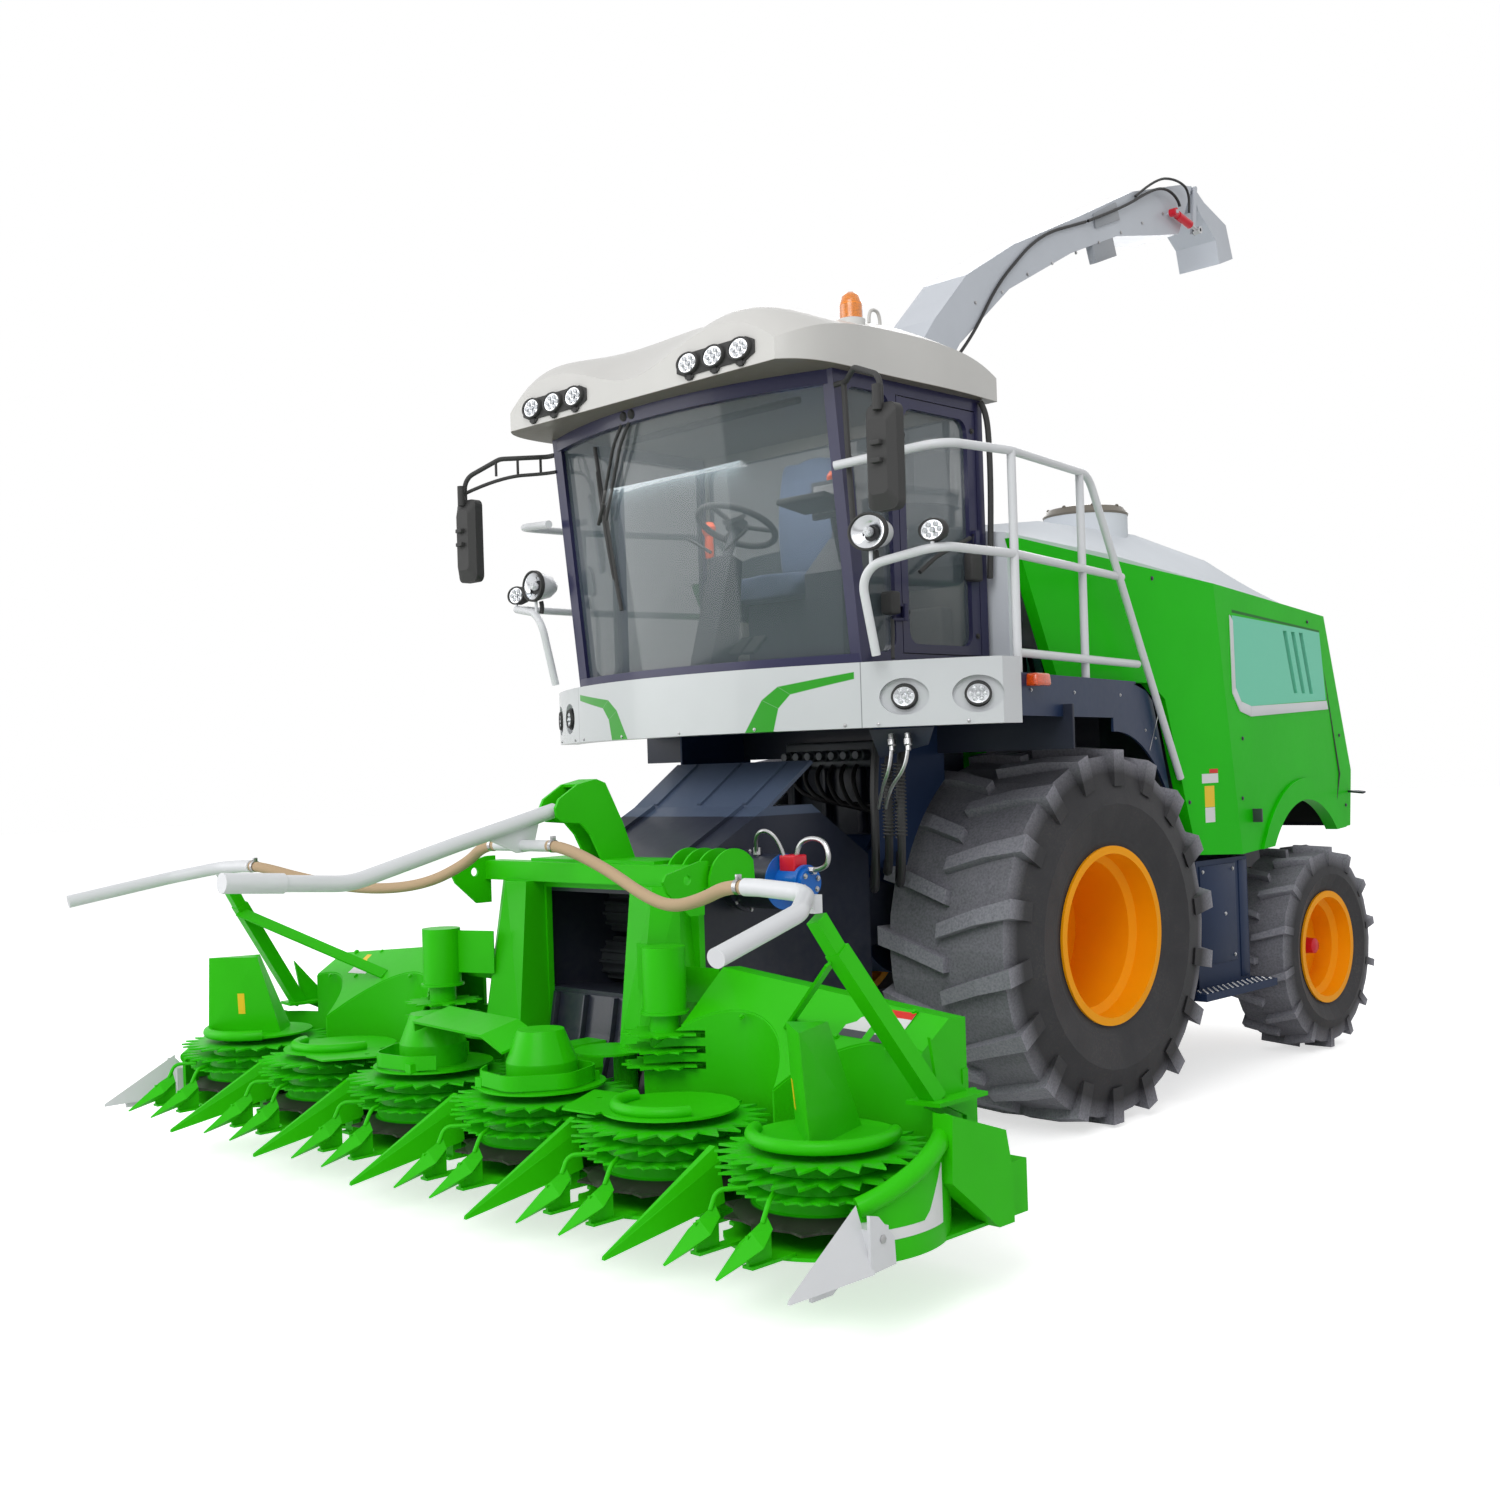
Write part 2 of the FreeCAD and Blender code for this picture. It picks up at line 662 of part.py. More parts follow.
def build_body():
    x1 = s.panel_half_width
    x0 = x1 - s.panel_thickness
    deck = s.beam_bottom + s.beam_height - 80
    front = [(-575, 2800), (-268, deck + 13), (560, deck + 13), (690, 2060), (810, 1690), (960, 1240), BEND_FOOT,
             BEND_TOP]
    panel = prism_x(front, x0, x1)
    quarter_outline = [BEND_TOP, (2890, 2600), (3250, 1640), (3190, 1290), BEND_FOOT]
    quarter = face([Vector(quarter_x(y, z), y, z) for y, z in quarter_outline]).extrude(
        Vector(-s.panel_thickness, 0, 0)
    )
    arch = rod(700, (500, s.wheelbase - 40, 780), (1400, s.wheelbase - 40, 780))
    side = fuse([panel, quarter]).cut(arch)
    flare = rod(830, (700, s.wheelbase - 40, 780), (1400, s.wheelbase - 40, 780)).cut(arch)
    side = fuse([side, side.translated(Vector(16, 0, 0)).common(flare)])
    for index in range(3):
        side = side.cut(louvre(2200 + index * 130))
    add("side_panels", pair(side))

    sections = []
    for y, edge_z, crown_z in (
        (-560, 2830, 2930),
        (300, 2790, 3040),
        (1220, 2710, 3040),
        (2100, 2660, 2960),
        (2880, 2600, 2780),
    ):
        half = quarter_x(y, edge_z) - s.panel_thickness - 0.4
        outline = [(-half, edge_z - 120), (-half, edge_z), (-0.6 * half, crown_z - 30), (0, crown_z),
                   (0.6 * half, crown_z - 30), (half, edge_z), (half, edge_z - 120)]
        points = [Vector(x, y, z) for x, z in outline]
        sections.append(Part.makePolygon(points + points[:1]))
    hood = Part.makeLoft(sections, True, True)
    hood = hood.cut(rod(240, (0, s.spout_axis_y, 2500), (0, s.spout_axis_y, 3300)))
    half = x0 - 0.4
    bulkhead = prism_y([(-half, 2760), (-half, deck + 13), (half, deck + 13), (half, 2760)], -560, -500)
    bulkhead = bulkhead.cut(box(-640, 640, -600, -400, deck, s.cab_floor))
    bulkhead = bulkhead.cut(prism_y([(-850, 2740), (-850, 2300), (850, 2300), (850, 2740)], -600, -400))
    dome = rod(230, (450, 1000, 2950), (450, 1000, 3110))
    add("hood", fuse([hood, bulkhead, dome]))

    foot_half = min(quarter_x(3250, 1640), quarter_x(3190, 1290)) - s.panel_thickness - 0.4
    rear = prism_x(
        [(2890, 2470), (2890, 2590), (3250, 1640), (3190, 1290), (3130, 1290), (3185, 1640)], -foot_half, foot_half
    )
    for z in range(1500, 2300, 110):
        rear = rear.cut(box(-650, 650, 2700, 3500, z, z + 45))
    add("rear_panel", rear)


def build_fenders():
    t = s.sheet_thickness
    wheel_z = s.front_wheel_radius
    arch = rod(wheel_z + s.fender_clearance, (400, 0, wheel_z), (1600, 0, wheel_z))
    deck_z = s.beam_bottom + s.beam_height - 80
    front_x, front_y = s.beam_half_length, -1094.6
    rear_x, rear_y = 1170, 300
    outline = [(front_y, deck_z), (rear_y, deck_z), (480, 2100), (580, 2050), (760, 1690), (945, 1250), (950, 700),
               (front_y, 700)]
    skirt = prism_x(outline, 0, -t)
    skirt = skirt.cut(box(-100, 100, front_y - 10, 0, 600, 1960))
    turn = math.degrees(math.atan((front_x - rear_x) / (rear_y - front_y)))
    skirt.rotate(Vector(0, front_y, 0), Vector(0, 0, 1), turn)
    skirt.translate(Vector(front_x, 0, 0))
    skirt = skirt.cut(arch)
    deck = prism_z([(650, front_y), (front_x, front_y), (rear_x, rear_y), (650, rear_y)], deck_z, deck_z + t)
    inner = box(650, 650 + t, front_y, -600, 1300, deck_z).cut(arch)
    add("fenders", pair(fuse([skirt, deck, inner])))

    tank = prism_z([(620, 1010), (1060, 1010), (1060, 1560), (980, 1640), (620, 1640)], 520, 1200)
    step = box(640, 1180, 870, 1640, 480, 520)
    bracket = box(s.rail_offset + s.rail_width / 2, 620, 1300, 1380, s.rail_bottom + 20, s.rail_bottom + 140)
    add("tanks_and_steps", pair(fuse([tank, step, bracket])))


# ---------------------------------------------------------------- cab


def build_cab():
    w = s.cab_half_width
    p = s.pillar_width
    top_y = s.cab_front - s.cab_lean
    outline = [(s.cab_front, s.cab_floor), (s.cab_rear, s.cab_floor), (s.cab_rear, s.cab_top), (top_y, s.cab_top)]

    def front_at(z):
        return s.cab_front - s.cab_lean * (z - s.cab_floor) / (s.cab_top - s.cab_floor)

    low, high = s.cab_floor + 50, s.cab_top - 60
    side = prism_x(outline, w - p, w)
    quarter = rounded_x(
        [(front_at(low) + 70, low), (s.door_front - 50, low), (s.door_front - 50, high), (front_at(high) + 70, high)],
        w - 2 * p,
        w + p,
        s.window_corner,
    )
    door_hole = box(w - 2 * p, w + p, s.door_front - 5, s.door_rear + 5, low - 5, high + 5)
    df = s.door_front - 5
    hinges = []
    for z in (low + 150, high - 190):
        hinges.append(rod(8, (w + 18, df, z - 12), (w + 18, df, z + 62)))
        for z0, z1 in ((z - 12, z - 0.3), (z + 50.3, z + 62)):
            hinges.append(rod(15, (w + 18, df, z0), (w + 18, df, z1)))
            hinges.append(prism_z([(w - 1, df - 60), (w + 28, df), (w + 8, df), (w - 1, df - 30)], z0, z1))
    left = fuse([side.cut(quarter).cut(door_hole)] + hinges)
    right_side = side.cut(quarter).cut(door_hole)
    floor = Part.Face(arc_sheet(w, s.cab_front, s.screen_bulge, 120, s.cab_floor)).extrude(Vector(0, 0, 40))
    floor = fuse([floor, box(-w, w, s.cab_front, s.cab_rear, s.cab_floor, s.cab_floor + 40)])
    head = Part.makeLoft(
        [
            arc_sheet(w - 30, front_at(high), s.screen_bulge, 50, high),
            arc_sheet(w - 32, top_y, s.screen_bulge, 50, s.cab_top),
        ],
        True,
        True,
    )
    back = prism_y(
        [(-w, s.cab_floor), (w, s.cab_floor), (w, s.cab_top), (-w, s.cab_top)], s.cab_rear - 50, s.cab_rear
    )
    rear_pane = [(-w + 80, 2600), (w - 80, 2600), (w - 80, high), (-w + 80, high)]
    rear_hole = rounded([Vector(x, s.cab_rear - 100, z) for x, z in rear_pane], s.window_corner)
    back = back.cut(rear_hole.extrude(Vector(0, 200, 0)))
    add("cab_frame", fuse([left, mirrored(right_side), floor, head, back]))

    g = s.glass_thickness
    screen = Part.makeLoft(
        [
            arc_sheet(w - p - 4, front_at(s.cab_floor + 40.5) + 18, s.screen_bulge - 16, g, s.cab_floor + 40.5),
            arc_sheet(w - p - 4, front_at(high - 0.5) + 18, s.screen_bulge - 16, g, high - 0.5),
        ],
        True,
        True,
    )
    inset = 0.4
    pane = [
        (front_at(low) + 70 + inset, low + inset),
        (s.door_front - 50 - inset, low + inset),
        (s.door_front - 50 - inset, high - inset),
        (front_at(high) + 70 + inset, high - inset),
    ]
    quarter_glass = rounded_x(pane, w - 30, w - 30 + g, s.window_corner - inset)
    side_glass = box(w - 30, w - 30 + g, s.door_front - 4.6, s.door_rear + 4.6, low - 4.6, high + 4.6)
    rear_pane = [(-w + 80.4, 2600.4), (w - 80.4, 2600.4), (w - 80.4, high - 0.4), (-w + 80.4, high - 0.4)]
    rear_glass = rounded([Vector(x, s.cab_rear - 30, z) for x, z in rear_pane], s.window_corner - inset)
    rear_glass = rear_glass.extrude(Vector(0, g, 0))
    add(
        "cab_glass",
        Part.makeCompound([screen, quarter_glass, mirrored(quarter_glass), mirrored(side_glass), rear_glass]),
    )

    t = s.door_thickness
    door = box(w - t, w, s.door_front, s.door_rear, low, high)
    window = [(s.door_front + 45, low + 40), (s.door_rear - 60, low + 40), (s.door_rear - 60, high - 45),
              (s.door_front + 45, high - 45)]
    door = door.cut(rounded_x(window, w - 2 * t, w + t, s.window_corner))
    knuckles = []
    for z in (low + 150, high - 190):
        knuckles.append(rod(15, (w + 18, s.door_front - 5, z), (w + 18, s.door_front - 5, z + 50)))
        knuckles.append(prism_z([(w + 8, s.door_front - 5), (w + 28, s.door_front - 5), (w + 4, s.door_front + 40),
                                 (w - 2, s.door_front + 40)], z, z + 50))
    hinge_bore = rod(8 + s.running_gap, (w + 18, s.door_front - 5, low), (w + 18, s.door_front - 5, high))
    handle = [box(w - 1, w + 26, s.door_rear - 48, s.door_rear - 20, z, z + 16) for z in (low + 470, low + 560)]
    grip = box(w + 14, w + 26, s.door_rear - 48, s.door_rear - 20, low + 470, low + 576)
    add("cab_door", fuse([door, grip] + handle + knuckles).cut(hinge_bore))
    window = [(s.door_front + 45 + inset, low + 40 + inset), (s.door_rear - 60 - inset, low + 40 + inset),
              (s.door_rear - 60 - inset, high - 45 - inset), (s.door_front + 45 + inset, high - 45 - inset)]
    add("cab_door_glass", rounded_x(window, w - 30, w - 30 + g, s.window_corner - inset))

    sections = []
    for y, crown, hump, edge, half in (
        (s.roof_front, 3540, 3640, 3540, 900),
        (-1800, 3640, 3730, 3590, 990),
        (-1500, 3840, 3800, 3640, 1010),
        (-1150, 3900, 3850, 3650, 1010),
        (-800, 3860, 3810, 3630, 1010),
        (-530, 3700, 3670, 3560, 990),
    ):
        top = Part.BSplineCurve()
        top.interpolate(
            [
                Vector(-half, y, edge),
                Vector(-0.45 * half, y, hump),
                Vector(0, y, crown),
                Vector(0.45 * half, y, hump),
                Vector(half, y, edge),
            ]
        )
        base = s.cab_top + 0.4
        lower = [
            Part.LineSegment(Vector(half, y, edge), Vector(half, y, base)).toShape(),
            Part.LineSegment(Vector(half, y, base), Vector(-half, y, base)).toShape(),
            Part.LineSegment(Vector(-half, y, base), Vector(-half, y, edge)).toShape(),
        ]
        sections.append(Part.Wire([top.toShape()] + lower))
    roof = Part.makeLoft(sections, True, False)
    for lamp in roof_lamps(0.4):
        roof = roof.cut(lamp).cut(mirrored(lamp))
    add("cab_roof", roof)


def build_cab_interior():
    floor = s.cab_floor + 40
    pedestal = box(-220, 220, -1010, -700, floor + 0.3, floor + 330)
    cushion = box(-250, 250, -1130, -690, floor + 330.3, floor + 470)
    backrest = prism_x(
        [(-800, floor + 470.6), (-690, floor + 470.6), (-658, floor + 1080), (-740, floor + 1080)], -240, 240
    )
    add("seat_cushion", Part.makeCompound([cushion, backrest]))
    column = prism_x(
        [(-1560, floor + 0.3), (-1380, floor + 0.3), (-1330, floor + 500), (-1400, floor + 530)], -70, 70
    )
    centre = Vector(0, -1290, floor + 680)
    tilt = Rotation(Vector(1, 0, 0), -25)
    along = tilt.multVec(Vector(0, 0, 1))
    shaft = Part.makeCylinder(22, 220, centre - along * 245.3, along)
    console = prism_x(
        [(-1180, floor + 0.3), (-720, floor + 0.3), (-720, floor + 560), (-1000, floor + 600), (-1180, floor + 420)],
        330,
        560,
    )
    lever = rod(11, (445, -1050, floor + 540), (445, -1075, floor + 700))
    knob = Part.makeSphere(30, Vector(445, -1078, floor + 715))
    armrest = bar((390, -700, floor + 576), (390, -1000, floor + 618), 90, 50)
    stalk = rod(14, (520, -1120, floor + 440), (520, -1190, floor + 690))
    screen = box(420, 640, -1215, -1185, floor + 660, floor + 830)
    panel = fuse([console, lever, knob, armrest, stalk, screen])
    add("cab_console", Part.makeCompound([fuse([column, shaft]), panel, pedestal]))
    ring = bind(
        doc.addObject("Part::Torus", "steering_ring"),
        Radius1=Length(steering_radius=1),
        Radius2=Length(steering_grip=1),
    )
    boss = bind(doc.addObject("Part::Cylinder", "steering_boss"), Radius=Length(50), Height=Length(50))
    boss.Placement = Placement(Vector(0, 0, -25), Rotation())
    spokes = []
    for angle in (28, 152, 270):
        spoke = doc.addObject("Part::Cylinder", "steering_spoke")
        bind(spoke, Radius=Length(12), Height=Length(-5, steering_radius=1))
        turn = math.radians(angle)
        spoke.Placement = Placement(Vector(), Rotation(Vector(0, 0, 1), Vector(math.cos(turn), math.sin(turn), 0)))
        spokes.append(spoke)
    wheel = doc.addObject("Part::MultiFuse", "steering_wheel")
    wheel.Label = "steering_wheel"
    wheel.Shapes = [ring, boss] + spokes
    wheel.Placement = Placement(centre + Vector(0, s.front_axle_y, 0), tilt)
    made.append(wheel)


def lamp_body(profile, place, direction):
    """A round lamp: a (radius, along) profile turned about the direction that it shines in."""
    shape = face([Vector(radius, 0, along) for radius, along in profile]).revolve(Vector(), Vector(0, 0, 1), 360)
    shape.Placement = Placement(Vector(*place), Rotation(Vector(0, 0, 1), Vector(*direction)))
    return shape


# ---------------------------------------------------------------- front beam, lamps, rails, mirrors


def roof_lamps(room):
    """Three work lamps and the beacon of the left half, each larger by room."""
    lamps = []
    for x in (393, 551, 709):
        profile = [(0, -60 - room), (40 + room, -60 - room), (50 + room, 0), (50 + room, 16), (42, 16), (40, 8), (0, 12)]
        lamps.append(lamp_body(profile, (x, s.roof_front, 3530), (0, -1, 0)))
    beacon = [(0, -room), (62 + room, -room), (62 + room, 70), (50, 74), (50, 138), (40, 172), (20, 190), (0, 194)]
    lamps.append(lamp_body(beacon, (800, -1330, 3665), (0, 0, 1)))
    return lamps


def beam_place(x):
    """Point and outward direction of the front beam's bowed face at one X."""
    bulge = 480
    radius = (s.beam_half_length**2 + bulge**2) / (2 * bulge)
    y = -1225 - bulge + radius
    angle = math.asin(x / radius)
    return (x, y - radius * math.cos(angle), s.beam_bottom + 0.45 * s.beam_height), (math.sin(angle), -math.cos(angle), 0)


def beam_lamps(room):
    """Two pod lamps of the beam's left end, each in its own recess."""
    lamps = []
    for x in (1124, 1395):
        place, out = beam_place(x)
        profile = [(0, -46 - room), (44 + room, -46 - room), (56 + room, -24), (56 + room, -4), (48, -2), (46, -12), (0, -6)]
        lamps.append(lamp_body(profile, place, out))
    return lamps


def build_front():
    beam = Part.Face(arc_sheet(s.beam_half_length, -1225, 480, s.beam_depth, s.beam_bottom)).extrude(
        Vector(0, 0, s.beam_height - 0.4)
    )
    for x in (1124, 1395):
        place, out = beam_place(x)
        oval = Part.Face(Part.Wire(Part.Ellipse(Vector(), 108, 78).toShape())).extrude(Vector(0, 0, 60))
        across = Vector(*out).cross(Vector(0, 0, 1))
        oval.Placement = Placement(Vector(*place) - Vector(*out) * 24, Rotation(across, Vector(), Vector(*out), "ZXY"))
        beam = beam.cut(oval).cut(mirrored(oval))
    for lamp in beam_lamps(0.4):
        beam = beam.cut(lamp).cut(mirrored(lamp))
    beam = fuse([beam, box(-430, 430, s.cab_front - 55, s.cab_front + 59.6, s.cab_floor - 140, s.cab_floor - 10)])
    add("front_beam", beam)

    left = roof_lamps(0) + beam_lamps(0)
    pod = [(0, 0), (34, 0), (48, 34), (48, 62), (42, 64), (40, 56), (0, 60)]
    left.append(lamp_body(pod, (1395, -1490, 2717.6), (0, -1, 0)))
    pod = [(0, 0), (30, 0), (44, 26), (44, 50), (38, 52), (36, 46), (0, 50)]
    left.append(lamp_body(pod, (1129, -1583.2, 2715), (0, -1, 0)))
    add("lamps", Part.makeCompound(left + [mirrored(lamp) for lamp in left]))

    rail_r = 19
    deck = s.beam_bottom + s.beam_height - 80 + s.sheet_thickness
    main = tube([(1110, 800, 1650), (1258, -200, 3105), (1440, -1060, 3090), (1420, -1500, 3080), (969, -1660, 3030)],
                rail_r, 150)
    middle = tube([(1190, 170, 2650), (1440, -1060, 2650), (1430, -1560, 2650), (1080, -1650, 2590),
                   (1080, -1560, 2229)], rail_r, 120)
    posts = [
        rod(rail_r, (1440, -1060, deck), (1440, -1060, 3090)),
        rod(rail_r, (1276, -300, deck), (1276, -300, 3100)),
        rod(rail_r, (1440, -1060, 2230), (1160, 340, 2230)),
        rod(8, (1395, -1556, 2640), (1395, -1556, 2669.3)),
        rod(8, (1129, -1632, 2600), (1129, -1632, 2670.7)),
    ]
    add("handrails", pair(fuse([main, middle] + posts)))

    arm = tube([(s.cab_half_width + 0.3, -1620, 3380), (1010, -1620, 3380), (1200, -1780, 3380), (1400, -1858, 3300),
                (1400, -1858, 3150)], 12, 80)

    def head_outline(y, inset, radius):
        """The mirror head's rounded outline in the plane y."""
        near, far, low, high = 1318 + inset / 2, 1474 - inset / 2, 2770 + inset, 3190 - inset
        return rounded([Vector(near, y, low), Vector(far, y, low), Vector(far, y, high), Vector(near, y, high)], radius)

    head = head_outline(-1811, 0, 36).extrude(Vector(0, -45, 0))
    hood = Part.makeLoft([head_outline(-1855, 0, 36).OuterWire, head_outline(-1885, 60, 24).OuterWire], True, True)
    add("mirrors", pair(fuse([arm, head, hood])))


# ---------------------------------------------------------------- crop header


def rotor_places():
    return [(index - 2.5) * s.rotor_pitch for index in range(6)]


def drum_disc_heights():
    return [s.feed_drum_foot + offset for offset in (35, 95, 155)]


def drum_top():
    return s.feed_drum_foot + 225


def toothed_disc(tip, root, teeth, z, thickness, hole):
    points = []
    for index in range(int(teeth)):
        for radius, share in ((tip, 0.0), (root, 0.55)):
            angle = 2 * math.pi * (index + share) / teeth
            points.append((radius * math.cos(angle), radius * math.sin(angle)))
    return prism_z(points, z, z + thickness).cut(Part.makeCylinder(hole, 100, Vector(0, 0, z - 50)))


def rotor():
    """One gathering rotor about its own axis: knife disc, saw disc, two crop discs on a drum."""
    t = s.disc_thickness
    bore = s.post_radius + 6
    seat = s.post_radius + s.running_gap
    drum = revolved(
        [
            (s.knife_z + 60, bore),
            (s.knife_z + 60, seat),
            (s.knife_z, seat),
            (s.knife_z, s.rotor_radius - 55),
            (s.knife_z + t, s.rotor_radius - 55),
            (s.knife_z + 40, s.drum_radius + 20),
            (s.saw_z, s.drum_radius + 20),
            (s.upper_disc_z + t, s.drum_radius - 20),
            (s.upper_disc_z + t, bore),
        ],
        Vector(0, 0, 1),
    )
    knife = toothed_disc(s.rotor_radius - 15, s.rotor_radius - 70, 12, s.knife_z, t, bore)
    saw = toothed_disc(s.rotor_radius - 40, s.rotor_radius - 65, s.saw_teeth, s.saw_z, t, bore)
    lower = toothed_disc(s.rotor_radius, s.rotor_radius - 85, s.rotor_teeth, s.lower_disc_z, t, bore)
    upper = toothed_disc(s.rotor_radius, s.rotor_radius - 85, s.rotor_teeth, s.upper_disc_z, t, bore)
    return fuse([drum, knife, saw, lower, upper])


def build_rotors():
    shape = rotor()
    for number, x in enumerate(rotor_places(), start=1):
        add(f"rotor_{number}", shape, at_axle(x, s.rotor_y, 0))


def divider(x, tip_y, tip_z, root_y, bottom, top, width):
    """A pointed crop divider: folded sheet with a rounded ridge that rises from its tip to its root."""

    def section(y, low, high, half):
        outline = [(-half, low), (-0.6 * half, high - 0.25 * (high - low)), (-0.25 * half, high), (0.25 * half, high),
                   (0.6 * half, high - 0.25 * (high - low)), (half, low)]
        return [Vector(x + dx, y, z) for dx, z in outline]

    return skin([section(tip_y, tip_z - 8, tip_z + 6, 8), section(root_y, bottom, top, width / 2)])


def small_divider(x, side):
    """A spearhead in front of one rotor, with a bent rod that leads up between its discs."""
    root_y = s.rotor_y - s.rotor_radius
    stations = [
        (root_y - 249, s.guard_z - 4, s.guard_z + 4, 8),
        (root_y - 100, s.guard_z + 28, s.guard_z + 108, 52),
        (root_y - 30, s.guard_z + 70, s.guard_z + 142, 24),
    ]
    sections = []
    for y, low, high, half in stations:
        middle = (low + high) / 2
        sections.append([Vector(x + side - half, y, middle), Vector(x + side, y, high),
                         Vector(x + side + half, y, middle), Vector(x + side, y, low)])
    spear = skin(sections)
    foot = box(x + side - 22, x + side + 22, root_y - 120, s.rotor_y - 290, s.guard_z, s.guard_z + 10)
    web = box(x + side - 6, x + side + 6, root_y - 120, root_y - 20, s.guard_z, s.guard_z + 100)
    level = (s.saw_z + s.disc_thickness + s.lower_disc_z) / 2
    stalk = tube([(x + side, root_y - 50, s.guard_z + 125), (x + side, root_y - 20, level),
                  (x + 0.5 * side, root_y + 60, level)], 8, 40)
    return fuse([spear, foot, web, stalk])


def build_dividers():
    base = s.guard_z - 12
    pieces = []
    for index in range(-2, 3):
        x = index * s.rotor_pitch
        root_y = s.rotor_y - 150
        foot = box(x - 30, x + 30, root_y - 60, s.rotor_y - 0.3, base, base + 12)
        post = box(x - 30, x + 30, root_y - 40, root_y, base, s.guard_z + 180)
        pieces.append(fuse([divider(x, root_y - 488, 242, root_y, s.guard_z + 60, 505, 110), foot, post]))
    for x in rotor_places():
        for side in (-116, 116):
            pieces.append(small_divider(x, side))
    add("row_dividers", Part.makeCompound(pieces))


def crop_band():
    """Curved band round the outer side of the outer left rotor, with a rolled top edge that falls forwards."""
    x, y = 2.5 * s.rotor_pitch, s.rotor_y
    inner, outer = s.rotor_radius + 32, s.rotor_radius + 46
    base = s.guard_z - 12
    low, high = 420, 615
    first, last = -36, 38
    band = sector([(inner, base), (outer, base), (outer, high), (inner, high)], (x, y), first, last - first)
    shoe = sector([(200, base), (outer, base), (outer, s.guard_z), (200, s.guard_z)], (x, y), first, last - first)
    middle = (inner + outer) / 2
    front_y = y + middle * math.sin(math.radians(first))
    rear_y = y + middle * math.sin(math.radians(last))
    slope = (high - low) / (rear_y - front_y)
    above = [(front_y - 100, low - 100 * slope), (rear_y + 100, high + 100 * slope), (front_y - 100, high + 200)]
    band = band.cut(prism_x(above, x, x + 2 * outer))
    edge = []
    for step in range(5):
        angle = math.radians(first + 3 + (last - first - 6) * step / 4)
        edge.append((x + middle * math.cos(angle), y + middle * math.sin(angle),
                     low + slope * (y + middle * math.sin(angle) - front_y)))
    return fuse([band, shoe, ring_path(edge, 32)])


def cover_top(x):
    """Height of the sloped covers' rear top edge, which falls towards the ends."""
    return 991 - 0.0946 * (x - 860)


def guide_walls(outer_x):
    """Upright walls behind the outer rotors, slotted for the drum's discs and trimmed to the cover."""
    inner = s.rotor_radius + 40
    walls = []
    for number, first, last in ((1.5, 22, 152), (2.5, 38.5, 158)):
        profile = [(inner, s.guard_z + 0.3), (inner + 8, s.guard_z + 0.3), (inner + 8, 1100), (inner, 1100)]
        walls.append(sector(profile, (number * s.rotor_pitch, s.rotor_y), first, last - first))
    drum_x, drum_y = s.feed_drum_x, s.feed_drum_y
    walls = fuse(walls)
    for z in drum_disc_heights():
        walls = walls.cut(Part.makeCylinder(s.feed_drum_radius + 12, 28, Vector(drum_x, drum_y, z - 10)))
    walls = walls.cut(Part.makeCylinder(s.drum_hub_radius + 8, 1000, Vector(drum_x, drum_y, 0)))
    walls = walls.cut(Part.makeCylinder(118, 500, Vector(drum_x, drum_y, drum_top() - 10)))
    walls = walls.cut(box(outer_x, outer_x + 400, -3000, -2200, 600, 1200))
    sky = []
    for x in (300, 860, outer_x + 400):
        top = cover_top(x) if x > 300 else cover_top(860)
        outline = [(-2760, s.cover_z + 20), (-2292, top - 3), (-2100, top - 3), (-2100, 1600), (-2760, 1600)]
        points = [Vector(x, y, z) for y, z in outline]
        sky.append(Part.makePolygon(points + points[:1]))
    return walls.cut(Part.makeLoft(sky, True, True))


